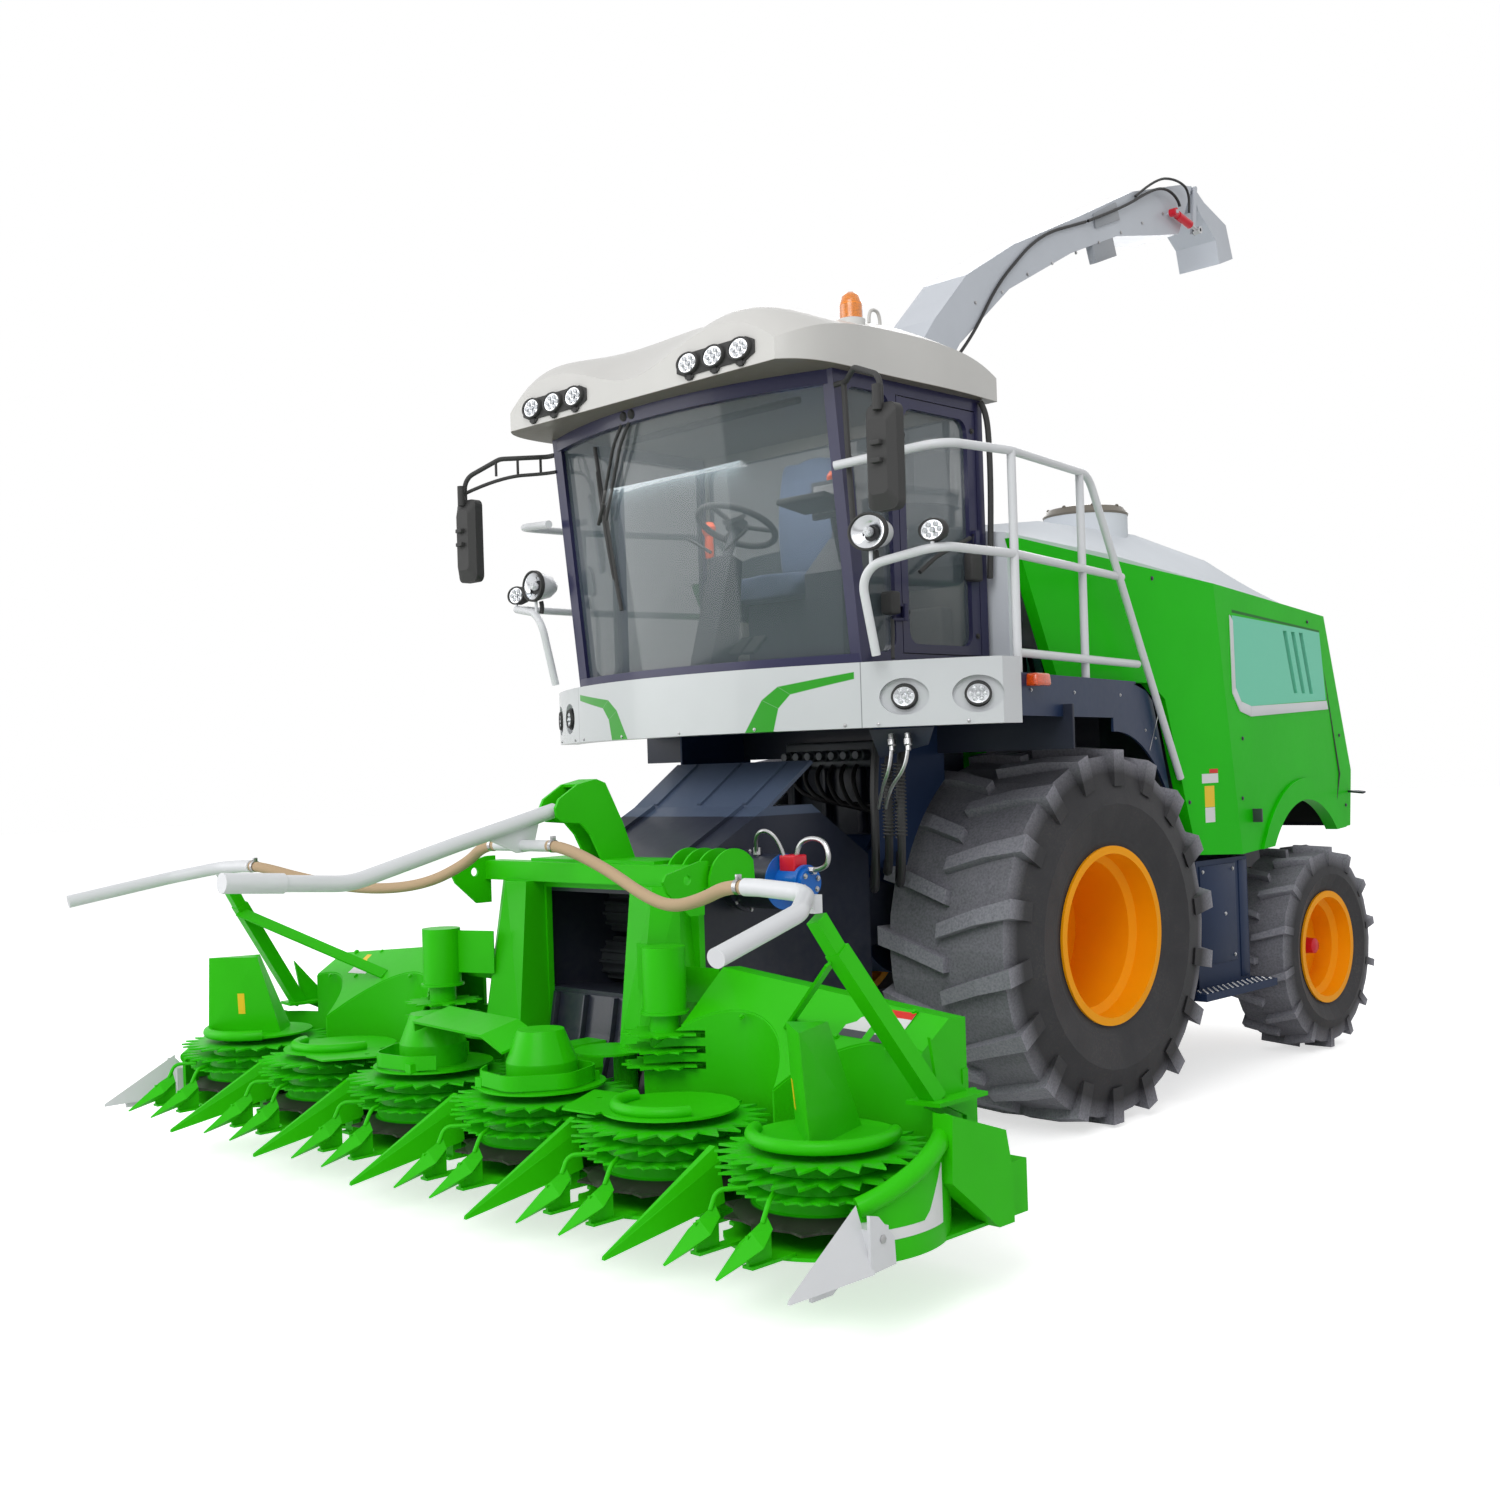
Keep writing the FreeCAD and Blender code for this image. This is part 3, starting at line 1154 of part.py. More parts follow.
def build_intake(back):
    """The crop intake: two faceted towers, a beam with eared plates, a platform, a tray with fins."""
    outlines = []
    for z, outline in (
        (640, [(340, back + 10), (340, -2400), (520, -2460), (660, -2345), (660, back + 10)]),
        (1299, [(355, back + 10), (355, -2330), (500, -2335), (600, -2275), (600, back + 10)]),
    ):
        outlines.append([Vector(x, y, z) for x, y in outline])
    tower = skin(outlines)
    guard = prism_z([(490, -2420), (s.feed_drum_x - 60, s.feed_drum_y + 30), (s.feed_drum_x - 60, s.feed_drum_y + 38),
                     (498, -2410)], 890, 1080)
    rear_guard = prism_z([(590, -2330), (598, -2322), (852, -2300), (852, -2308)], 845, 985)
    towers = [tower, guard, rear_guard]
    beam = box(0, 715, back - 60, back + 29.7, 1298, 1385)
    ear = prism_x([(-2232, 1298), (-2232, 1405), (-2280, 1405), (-2460, 1362), (-2478, 1335), (-2455, 1290),
                   (-2340, 1190), (-2260, 1190), (-2260, 1298)], 715, 729)
    ear = ear.cut(rod(20, (700, -2350, 1335), (740, -2350, 1335)))
    platform = box(0, 420, back - 20, -2040, 1384, 1398)
    ramp = prism_y([(0, s.cover_z + 60), (60, s.cover_z + 60), (110, s.cover_z - 40), (110, s.guard_z - 6),
                    (0, s.guard_z - 6)], -2480, back + 5)
    half = fuse(towers + [beam, ear, platform, ramp])
    tray = box(468, 770, back - 20, -1990, 1284, 1299)
    fins = []
    for x in (480, 568, 656, 744):
        top = Part.Arc(Vector(x, back - 20, 1330), Vector(x, -2160, 1440), Vector(x, -2000, 1395)).toShape()
        sides = Part.makePolygon([Vector(x, -2000, 1395), Vector(x, -1992, 1298), Vector(x, back - 20, 1298),
                                  Vector(x, back - 20, 1330)])
        fins.append(Part.Face(Part.Wire([top] + sides.Edges)).extrude(Vector(10, 0, 0)))
    crown = [(-2040, 1390), (-2110, 1560), (-2200, 1730), (-2250, 1748), (-2352, 1728), (-2455, 1668), (-2476, 1630),
             (-2470, 1590), (-2440, 1570), (-2400, 1566), (-2340, 1560), (-2290, 1510), (-2225, 1390)]
    plates = [prism_x(crown, x, x + 14) for x in (-60, 46)]
    web = prism_x([(-2040, 1390), (-2110, 1560), (-2200, 1730), (-2250, 1748), (-2352, 1728), (-2348, 1716),
                   (-2248, 1736), (-2210, 1722), (-2121, 1555), (-2055, 1390)], -60, 60)
    return [half, mirrored(half), tray] + fins + plates + [web]


def build_covers(back):
    """Sloped covers between the intake and the ends, cut back round the outer rotors."""
    outer_x = 1985
    sections = []
    sky_low = s.cover_z + 30
    for x in (860, outer_x):
        top = cover_top(x)
        outline = [(-2760, sky_low), (-2292, top), (back + 29.7, top - 6), (back + 29.7, 700.3), (back + 12, 700.3),
                   (back + 12, top - 20), (-2290, top - 14), (-2756, sky_low - 10)]
        points = [Vector(x, y, z) for y, z in outline]
        sections.append(Part.makePolygon(points + points[:1]))
    cover = Part.makeLoft(sections, True, True)
    end = prism_x([(-2745, sky_low - 4), (-2292, cover_top(outer_x) - 2), (back + 29.7, cover_top(outer_x) - 8),
                   (back + 29.7, 700.3), (back - 0.3, 700.3), (back - 0.3, 520), (-2560, 520)], outer_x - 12, outer_x)
    inner = s.rotor_radius + 44
    cover = fuse([cover, end])
    for number in (0.5, 1.5, 2.5):
        cover = cover.cut(Part.makeCylinder(inner, 1500, Vector(number * s.rotor_pitch, s.rotor_y, 0)))
    cover = fuse([cover, guide_walls(outer_x)])
    cover = cover.cut(bar((1360, -2440, 830.5), (1972, -2866, 1146), 11, 59))
    add("header_covers", pair(cover))


def build_caps():
    """Fixed covers over the rotors: towers at the ends, hooped plates, and capped drums in the middle."""
    top = s.cover_z + 0.3
    plate_top = top + 8
    y = s.rotor_y
    caps = []
    for number in (0.5, 1.5, 2.5):
        x = number * s.rotor_pitch
        plate = Part.makeCylinder(250, 8, Vector(x, y, top))
        if number > 2:
            foot = [(x - 155, y + 30), (x + 12, y + 176), (x + 127, y - 199)]
            head = [(x - 104, y - 55), (x + 14, y + 22), (x + 95, y - 202)]
            outlines = []
            for outline, z in ((foot, plate_top - 2), (head, 935)):
                outlines.append([Vector(px, py, z) for px, py in outline])
            ring = Part.makeTorus(236, 24, Vector(), Vector(0, 0, 1), 0, 360, 190)
            ring.rotate(Vector(), Vector(0, 0, 1), 205)
            ring.translate(Vector(x, y, plate_top + 8))
            cap = fuse([plate, skin(outlines), ring])
        elif number > 1:
            ring = Part.makeTorus(196, 22, Vector(), Vector(0, 0, 1), 0, 360, 160)
            ring.rotate(Vector(), Vector(0, 0, 1), 178)
            ring.translate(Vector(x, y, plate_top + 14))
            link = prism_z([(660, y + 30), (830, y - 262), (1000, y - 245), (960, y + 60)], top, plate_top)
            link = link.cut(Part.makeCylinder(12, 100, Vector(800, y - 60, top - 50)))
            cap = fuse([plate, ring, link])
        else:
            drum = Part.makeCylinder(140, 95, Vector(x, y, top))
            cone = Part.makeCone(140, 92, 122, Vector(x, y, top + 95))
            hoop = [(x - 20, y + 165), (x + 150, y + 165), (x + 225, y - 40), (x + 90, y - 232), (x - 130, y - 205),
                    (x - 200, y - 120)]
            level = plate_top + 36
            band = strip([(px, py, level) for px, py in hoop], 8, 58, 90)
            stays = [box(x + 110, x + 150, y + 120, y + 168, plate_top - 2, level),
                     box(x - 150, x - 110, y - 212, y - 170, plate_top - 2, level)]
            cap = fuse([plate, drum, cone, band] + stays)
            shield = prism_y([(-300, 745), (-292, 790), (180, 775), (300, 716), (300, 706), (178, 765), (-284, 780),
                              (-290, 745)], y - 150, y + 40)
            shield.rotate(Vector(0, y - 55, 770), Vector(1, 0, 0), 12)
            caps.append(fuse([cap, mirrored(cap), shield]))
            continue
        caps.append(pair(cap))
    add("rotor_covers", Part.makeCompound(caps))


def build_boom():
    y = s.rotor_y
    boom = tube([(0, -2440, 1620), (0, -2950, 1500), (0, -3430, 1380), (0, -3950, 1420)], 32, 400)
    sleeve = rod(38, (0, -3710, 1402), (0, -3952, 1420.2))
    pin = rod(15, (-45.7, -2440, 1620), (45.7, -2440, 1620))
    plate = prism_x([(-2520, 1590), (-2800, 1520), (-2640, 1450), (-2560, 1455)], -6, 6)
    stubs = rod(24, (-180, -2610, 1480), (180, -2610, 1480))
    end_tube = tube([(1668, -2952, 1381), (1740, -2952, 1381), (1960, -2960, 1370), (2100, -3150, 1330),
                     (2206, -3604, 1246)], 30, 150)
    gusset = prism_x([(-2985, 1360), (-2925, 1365), (-2925, 1306), (-2960, 1306)], 1930, 1990)
    left_end = fuse([end_tube, gusset])
    add("push_boom", Part.makeCompound([fuse([boom, sleeve, pin, plate, stubs]), left_end, mirrored(left_end)]))

    hose = tube([(180.3, -2610, 1480), (270, -2610, 1480), (480, -2560, 1390), (760, -2600, 1290), (1050, -2720, 1270),
                 (1350, -2850, 1320), (1580, -2952, 1381), (1667.7, -2952, 1381)], 24)
    add("hose_left", hose)
    add("hose_right", mirrored(hose))


def build_header():
    guard_top = s.guard_z
    base = s.guard_z - 12
    half_width = 3 * s.rotor_pitch
    back = s.feeder_mouth_y - 30

    guards = []
    for x in rotor_places():
        guard = Part.makeCylinder(s.rotor_radius - 20, 12, Vector(x, s.rotor_y, base))
        for angle in (215, 270, 325):
            bite = Part.makeCylinder(70, 40, Vector(x, s.rotor_y - s.rotor_radius - 20, base - 10))
            bite.rotate(Vector(x, s.rotor_y, 0), Vector(0, 0, 1), angle - 270)
            guard = guard.cut(bite)
        guards.append(guard)
    posts = [Part.makeCylinder(s.post_radius, s.cover_z - base, Vector(x, s.rotor_y, base)) for x in rotor_places()]
    shafts = []
    column_foot = drum_top() + 6
    for x in (-s.feed_drum_x, s.feed_drum_x):
        place = Vector(x, s.feed_drum_y, 0)
        shafts.append(Part.makeCylinder(40, s.feed_drum_foot - 2 - base, place + Vector(0, 0, base)))
        shafts.append(Part.makeCylinder(25 - s.running_gap, column_foot + 10 - base, place + Vector(0, 0, base)))
        shafts.append(Part.makeCylinder(98, 10, place + Vector(0, 0, column_foot)))
        shafts.append(Part.makeCylinder(86, 1090 - column_foot, place + Vector(0, 0, column_foot)))
    pan = box(-half_width, half_width, s.rotor_y, back, base, guard_top)
    floor_beam = box(-half_width, half_width, back - 160, back, base, base + 180)
    back_wall = box(-1990, 1990, back, back + 29.7, base, 700)
    upper_wall = box(-660, 660, back, back + 29.7, 600, 1300)
    opening = box(-340, 340, back - 300, back + 100, 450, 1270)
    ovals = []
    for x in (-0.5 * s.rotor_pitch, 0.5 * s.rotor_pitch):
        disc = Part.makeCylinder(150, 8, Vector(x, s.rotor_y + 345, 640))
        foot = Part.makeCylinder(50, 640 - base, Vector(x, s.rotor_y + 430, base))
        ovals += [disc, foot]

    end = prism_x([(-2690, 440), (-2680, 655), (-2400, 560), (-2368, 415), (-2368, base), (-2450, base)],
                  half_width - 35, half_width + 45)
    post = bar((2080, -2500, 650), (1984, -2858, 1180), 62, 62)
    foot_plate = prism_z([(1992, -2300), (2150, -2300), (2150, -2560), (2020, -2580)], 640, 654)
    strut = prism_x([(-2300, base), (-2240, base), (-2240, 645), (-2480, 645), (-2300, 560)], 2040, 2056)
    gusset = prism_x([(-2480, 650), (-2330, 650), (-2520, 860)], 2072, 2084)
    brace = bar((1360, -2440, 831), (1972, -2866, 1146), 10, 58)
    upper_post = bar((1984, -2858, 1175), (1965, -2928, 1288), 52, 52)
    side = fuse([crop_band(), end, post, foot_plate, strut, gusset, brace, upper_post])
    wall = fuse([back_wall, upper_wall, floor_beam]).cut(opening)
    intake = build_intake(back)
    frame = fuse([pan, wall, side, mirrored(side)] + intake + guards + posts + shafts + ovals)
    add("header_frame", frame)
    build_covers(back)
    build_dividers()

    cone = Part.makeLoft(
        [
            Part.makePolygon([Vector(2270, -3430, 245), Vector(2276, -3430, 258), Vector(2282, -3430, 245),
                              Vector(2270, -3430, 245)]),
            Part.makePolygon([Vector(2205, -3090, 255), Vector(2240, -3090, 450), Vector(2310, -3090, 255),
                              Vector(2205, -3090, 255)]),
        ],
        True,
        True,
    )
    cheek = prism_x([(-3100, 255), (-3100, 430), (-3060, 420), (-2990, 345), (-2985, 262)], 2292, 2304)
    skid = prism_x([(-3330, 262), (-3250, 290), (-3180, 262), (-3240, 225), (-3330, 225)], 2262, 2274)
    outer = s.rotor_radius + 46 + 1.3
    seat = []
    for turn in (-26.4, -35):
        angle = math.radians(turn)
        seat.append((2.5 * s.rotor_pitch + outer * math.cos(angle), s.rotor_y + outer * math.sin(angle)))
    lug_outline = [(2300, -3095), (2300, seat[0][1]), *seat, (seat[1][0], -3095)]
    seat_lug = prism_z(lug_outline, s.guard_z + 0.3, s.guard_z + 122)
    add("side_cones", pair(fuse([cone, cheek, skid, seat_lug])))
    build_caps()
    build_boom()


def feed_drum():
    """A toothed feed drum about its own shaft."""
    bore = 25
    foot = s.feed_drum_foot
    hub = revolved([(foot, bore), (foot, s.drum_hub_radius), (drum_top(), s.drum_hub_radius), (drum_top(), bore)],
                   Vector(0, 0, 1))
    discs = [
        toothed_disc(s.feed_drum_radius, s.feed_drum_radius - 38, 14, z, s.disc_thickness, s.drum_hub_radius - 5)
        for z in drum_disc_heights()
    ]
    return fuse([hub] + discs)


def toothed_roll(y, z, half):
    """A ribbed feed roll across the feeder's mouth."""
    points = []
    for index in range(12):
        for radius, share in ((102, 0.0), (102, 0.22), (86, 0.3), (86, 0.92)):
            angle = 2 * math.pi * (index + share) / 12
            points.append((y + radius * math.cos(angle), z + radius * math.sin(angle)))
    return prism_x(points, -half, half)


def build_feeder():
    half = s.feeder_half_width
    mouth = s.feeder_mouth_y
    y, z = s.feeder_pivot_y, s.feeder_pivot_z
    outline = [(mouth, 780), (-1500, 700), (-930, 720), (-930, 1350), (-1310, 1600), (-1600, 1600), (mouth, 1290)]
    housing = prism_x(outline, -half, half)
    mouth_cut = prism_x([(mouth - 10, 820), (-1450, 760), (-1450, 1240), (mouth - 10, 1250)], -half + 40, half - 40)
    housing = housing.cut(mouth_cut)
    lid = prism_x([(-1600, 1600), (-1310, 1800), (-1290, 1790), (-1570, 1600)], -half, half)
    sides = []
    for x in (-410, 380):
        arm = prism_x([(-940, 900), (-940, 1250), (y - 60, z + 95), (y + 90, z + 60), (y + 90, z - 60),
                       (y - 60, z - 95)], x, x + 30)
        sides.append(arm.cut(rod(60 + s.running_gap, (-500, y, z), (500, y, z))))
    reach = s.lift_offset + 58
    ears = [box(-reach, reach, s.lift_eye_y - 40, s.lift_eye_y + 40, 696, 730)]
    for x in (s.lift_offset - 58, s.lift_offset + 44):
        ear = prism_x([(s.lift_eye_y - 40, 720), (s.lift_eye_y - 30, s.lift_pin_z - 30),
                       (s.lift_eye_y + 30, s.lift_pin_z - 30), (s.lift_eye_y + 40, 720)], x, x + 14)
        ears += [ear, mirrored(ear)]
    gearbox = rod(118, (half - 5, -1800, 1290), (half + 290, -1800, 1290))
    flange = rod(134, (half + 60, -1800, 1290), (half + 84, -1800, 1290))
    motor = rod(62, (half + 280, -1800, 1290), (half + 440, -1800, 1290))
    cap = rod(74, (half + 400, -1800, 1290), (half + 420, -1800, 1290))
    ribs = [bar((x, -1590, 1606), (x, -1320, 1790), 24, 24) for x in (-300, 0, 300)]
    top_ribs = [bar((x, mouth + 180, 1390), (x, -1610, 1602), 24, 24) for x in (-300, 300)]
    shell = [housing, lid, gearbox, flange, motor, cap] + ribs + top_ribs
    add("feeder_housing", fuse(shell + sides + ears))
    rolls = [toothed_roll(ry, rz, half - 40.3) for ry, rz in ((-1750, 1120), (-1780, 900))]
    add("feed_rolls", Part.makeCompound(rolls))
    for name, x in (("left", s.feed_drum_x), ("right", -s.feed_drum_x)):
        add(f"feed_drum_{name}", feed_drum(), at_axle(x, s.feed_drum_y, 0))
    build_lift(s.lift_offset)


def build_lift(x):
    """The two lift cylinders, lying level under the feeder. The rods end short of a pin."""
    y0, y1, z = s.lift_pin_y, s.lift_eye_y, s.lift_pin_z
    eye = rod(40, (x - 40, y0, z), (x + 40, y0, z)).cut(rod(22 + s.running_gap, (x - 50, y0, z), (x + 50, y0, z)))
    barrel = rod(42, (x, y0 - 30, z), (x, y0 - 640, z)).cut(rod(25 + s.running_gap, (x, y0 - 80, z), (x, y0 - 700, z)))
    barrel = barrel.cut(rod(22 + s.running_gap, (x - 50, y0, z), (x + 50, y0, z)))
    add("lift_barrels", pair(fuse([eye, barrel])))
    shaft = rod(25, (x, y0 - 250, z), (x, y1 + 20, z))
    end = rod(30, (x - 36, y1, z), (x + 36, y1, z)).cut(rod(18, (x - 50, y1, z), (x + 50, y1, z)))
    shaft = shaft.cut(rod(18, (x - 50, y1, z), (x + 50, y1, z)))
    add("lift_rods", pair(fuse([shaft, end])))


# ---------------------------------------------------------------- discharge spout


def build_spout():
    w = s.spout_width / 2
    y = s.spout_axis_y
    ring = rod(260, (0, y, s.ring_z), (0, y, s.ring_z + 60))
    collar = Part.makeLoft(
        [
            Part.makePolygon([Vector(*p, s.ring_z + 60) for p in
                              ((-150, y - 150), (150, y - 150), (150, y + 150), (-150, y + 150), (-150, y - 150))]),
            Part.makePolygon([Vector(*p, s.spout_hinge_z + 100) for p in
                              ((-135, y - 115), (135, y - 115), (135, y + 100), (-135, y + 100), (-135, y - 115))]),
        ],
        True,
        True,
    )
    pivot = (s.spout_hinge_y, s.spout_hinge_z)
    ears = [box(x, x + 14, pivot[0] - 30, y - 60, pivot[1] - 180, pivot[1] + 30) for x in (-w - 30, w + 16)]
    ear_feet = box(-w - 30, w + 30, pivot[0] - 30, y - 60, pivot[1] - 190, pivot[1] - 160)
    foot_y, foot_z = s.spout_foot_y, s.spout_foot_z
    feet = [prism_x([(foot_y - 130, s.ring_z), (foot_y + 30, s.ring_z), (foot_y + 30, foot_z + 30),
                     (foot_y - 30, foot_z + 30), (foot_y - 130, s.ring_z + 60)], x, x + 14) for x in (-39, 25)]
    foot_pin = rod(15, (-39, foot_y, foot_z), (39, foot_y, foot_z))
    hinge_hole = rod(20 + s.running_gap, (-w - 40, *pivot), (w + 40, *pivot))
    base = fuse([ring, collar, ear_feet] + ears).cut(hinge_hole)
    add("spout_base", fuse([base, foot_pin] + feet))

    wall = s.spout_wall
    upper = [(-125, 3600), (-115, 3880), (90, 4130), (380, 4420), (830, 4680), (1500, 4985), (2100, 5270),
             (2690, 5450), (2830, 5470)]
    lower = [(2640, 5120), (2390, 5060), (1900, 4950), (1400, 4745), (770, 4415), (300, 4030), (175, 3870), (175, 3600)]
    shell = prism_x(upper + lower, -w, w)

    core_upper = [(y_ + 2, z_ - 12) for y_, z_ in upper]
    core_lower = [(y_ - 2, z_ + 12) for y_, z_ in lower]
    core_upper[0] = (-113, 3500)
    core_upper[-1] = (2900, 5440)
    core_lower[0] = (2700, 5150)
    core_lower[-1] = (160, 3500)
    core_lower[-2] = (160, 3880)
    core = prism_x(core_upper + core_lower, -w + wall, w - wall)
    trunnion = rod(20, (-w - 30, *pivot), (w + 30, *pivot))
    hinge_lug = box(-w, w, pivot[0], -115, pivot[1] - 18, pivot[1] + 18)
    eye_y, eye_z = s.spout_eye_y, s.spout_eye_z
    lift_ears = [prism_x([(185, 3895), (300, 4040), (430, 4145), (eye_y + 35, eye_z - 25), (eye_y - 30, eye_z - 30)],
                         x, x + 14) for x in (-38, 24)]
    flap_pin = rod(12, (w - 1, s.flap_foot_y, s.flap_foot_z), (w + 75, s.flap_foot_y, s.flap_foot_z))
    hinge = (s.flap_hinge_y, s.flap_hinge_z)
    room = rod(20, (-w - 10, *hinge), (w + 10, *hinge))
    arc = fuse([shell.cut(core), hinge_lug, trunnion, flap_pin] + lift_ears).cut(room)
    knuckles = []
    for x in (-w + 20, w - 60):
        knuckles.append(rod(24, (x, *hinge), (x + 40, *hinge)))
        knuckles.append(prism_x([(hinge[0] - 10, hinge[1] - 22), (hinge[0] - 10, hinge[1] + 5), (hinge[0] - 60, hinge[1]),
                                 (hinge[0] - 60, hinge[1] - 20)], x, x + 40))
    pin_hole = rod(13 + s.running_gap, (-w - 10, *hinge), (w + 10, *hinge))
    arc = fuse([arc] + knuckles).cut(pin_hole)
    add("spout_arc", arc)

    flap = prism_x([(2852, 5472), (2980, 5400), (3260, 5310), (3340, 5100), (3160, 5030), (3120, 5180), (2900, 5330),
                    (2850, 5445)], -w, w)
    for x in (-w + 20, w - 60):
        flap = flap.cut(rod(30, (x - 5, *hinge), (x + 45, *hinge)))
    tube_pin = rod(13, (-w, *hinge), (w + 18, *hinge))
    lever = prism_x([(hinge[0] + 16, hinge[1] + 8), (hinge[0] - 16, hinge[1] + 8), (s.flap_eye_y - 25, s.flap_eye_z - 20),
                     (s.flap_eye_y + 20, s.flap_eye_z - 25)], w + 6, w + 18)
    add("spout_flap", fuse([flap, tube_pin, lever]))
    hose_x = w + 9.4
    add("spout_hose", tube([(hose_x, 180, 3870), (hose_x, 420, 4110), (hose_x, 650, 4420), (hose_x, 1060, 4780),
                            (hose_x, 1550, 4960)], 9))
    build_cylinder("spout", Vector(0, foot_y, foot_z), Vector(0, eye_y, eye_z), 34, 18, 15, 22, 470, 200)
    foot = Vector(w + 45, s.flap_foot_y, s.flap_foot_z)
    eye = Vector(w + 45, s.flap_eye_y, s.flap_eye_z)
    build_cylinder("flap", foot, eye, 26, 13, 12, 23, 200, 85)


def build_cylinder(name, foot, eye, barrel_r, rod_r, pin_r, half, reach, start):
    """A barrel pinned at its foot and a rod that starts inside it and ends in an eye."""
    way = (eye - foot).normalize()
    side = Vector(1, 0, 0)

    def across(radius, centre, reach_x):
        return rod(radius, centre - side * reach_x, centre + side * reach_x)

    hole = across(pin_r + s.running_gap, foot, half + 10)
    neck = rod(min(barrel_r, half) - 1, foot, foot + way * 60)
    barrel = fuse([across(pin_r + 13, foot, half), neck, rod(barrel_r, foot + way * 46, foot + way * reach)])
    bore = rod(rod_r + s.running_gap, foot + way * (pin_r + 14), foot + way * (reach + 10))
    add(f"{name}_barrel", barrel.cut(bore).cut(hole))
    shaft = fuse([rod(rod_r, foot + way * start, eye), across(rod_r + 10, eye, half)])
    add(f"{name}_rod", shaft.cut(across(rod_r - 2, eye, half + 10)))


build_wheels()
build_axles()
build_chassis()
build_body()
build_fenders()
build_cab()
build_cab_interior()
build_front()
build_rotors()
build_header()
build_feeder()
build_spout()

doc.recompute()
os.makedirs("parts", exist_ok=True)
for feature in made:
    bad = "Invalid" in feature.State or "Error" in feature.State
    if bad or feature.Shape.isNull() or not feature.Shape.isValid():
        raise RuntimeError(f"{feature.Label} is not a sound shape")
for feature in made:
    feature.Shape.exportStep(f"parts/{feature.Label}.step")
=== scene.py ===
"""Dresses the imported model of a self-propelled forage harvester and sets its studio.

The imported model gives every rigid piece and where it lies. This script gives the pieces their finishes, adds the
trim that is too fine for the model (lenses, bolts, wipers, decals, tread plate, hoses) and sets camera and lights.
All lengths are in metres, +Z up, -Y forward, +X to the machine's left. A place that is written as a plain tuple
is measured from the front axle; a Vector is in the model's own frame.
"""

import logging
import math
from dataclasses import dataclass, field
from enum import Enum
from typing import Iterable, List, Mapping, Optional, Sequence, Tuple, Union

import bmesh
import bpy
from mathutils import Matrix, Vector


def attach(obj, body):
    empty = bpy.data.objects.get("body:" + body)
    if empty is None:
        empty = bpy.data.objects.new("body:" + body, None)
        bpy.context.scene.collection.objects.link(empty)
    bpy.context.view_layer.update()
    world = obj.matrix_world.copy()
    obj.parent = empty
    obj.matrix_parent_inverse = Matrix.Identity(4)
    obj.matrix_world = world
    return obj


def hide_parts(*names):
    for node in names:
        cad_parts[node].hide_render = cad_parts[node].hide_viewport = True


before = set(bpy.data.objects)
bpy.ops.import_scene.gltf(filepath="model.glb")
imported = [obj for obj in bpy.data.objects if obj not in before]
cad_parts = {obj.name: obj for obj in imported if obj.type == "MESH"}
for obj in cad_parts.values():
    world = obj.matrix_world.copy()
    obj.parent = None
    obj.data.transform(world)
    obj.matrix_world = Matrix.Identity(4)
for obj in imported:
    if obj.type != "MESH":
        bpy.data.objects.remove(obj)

LOG = logging.getLogger("forage_harvester")
Colour = Tuple[float, float, float]
Point = Tuple[float, float, float]
Pairs = Sequence[Tuple[float, float]]
Spot = Union[Point, Vector]
Number = Union[int, float]
Inputs = Mapping[str, object]

AXLE_Y = 0.306  # the front axle's Y in the model's frame
UP, FORWARD, LEFT = Vector((0.0, 0.0, 1.0)), Vector((0.0, -1.0, 0.0)), Vector((1.0, 0.0, 0.0))


def linear(*display: int) -> Colour:
    """Turn a display colour, red, green and blue of 0 to 255, into the linear colour that shaders use."""
    parts = [value / 255 for value in display]
    return tuple(part / 12.92 if part <= 0.04045 else ((part + 0.055) / 1.055) ** 2.4 for part in parts)


# ---------------------------------------------------------------- shader sums


@dataclass
class Sock:
    """One value in a shader: an output socket of its tree. Python arithmetic on it adds Math nodes."""

    tree: bpy.types.NodeTree
    socket: bpy.types.NodeSocket

    def sum(self, operation: str, *others: Union["Sock", Number], clamp: bool = False) -> "Sock":
        """Add one Math node.

        Args:
            operation: The Math node's operation.
            others: Its other operands.
            clamp: Whether the result is held between 0 and 1.

        Returns:
            The node's value.
        """
        node = self.tree.nodes.new("ShaderNodeMath")
        node.operation = operation
        node.use_clamp = clamp
        for place, operand in enumerate((self, *others)):
            if isinstance(operand, Sock):
                self.tree.links.new(operand.socket, node.inputs[place])
            else:
                node.inputs[place].default_value = operand
        return Sock(self.tree, node.outputs[0])

    def __add__(self, other: Union["Sock", Number]) -> "Sock":
        """Add."""
        return self.sum("ADD", other)

    def __sub__(self, other: Union["Sock", Number]) -> "Sock":
        """Take away."""
        return self.sum("SUBTRACT", other)

    def __mul__(self, other: Union["Sock", Number]) -> "Sock":
        """Multiply."""
        return self.sum("MULTIPLY", other)

    def __pow__(self, other: Number) -> "Sock":
        """Raise to a power."""
        return self.sum("POWER", other)

    def clamped(self) -> "Sock":
        """Hold the value between 0 and 1."""
        return self.sum("ADD", 0.0, clamp=True)

    def wave(self, scale: float = 1.0) -> "Sock":
        """The sine of the value times a scale."""
        return (self * scale).sum("SINE")

    def ramp(self, low: float, high: float) -> "Sock":
        """Rise evenly from 0 at low to 1 at high, or fall where low is the larger."""
        span = high - low
        return self.sum("MULTIPLY_ADD", 1 / span, -low / span, clamp=True)


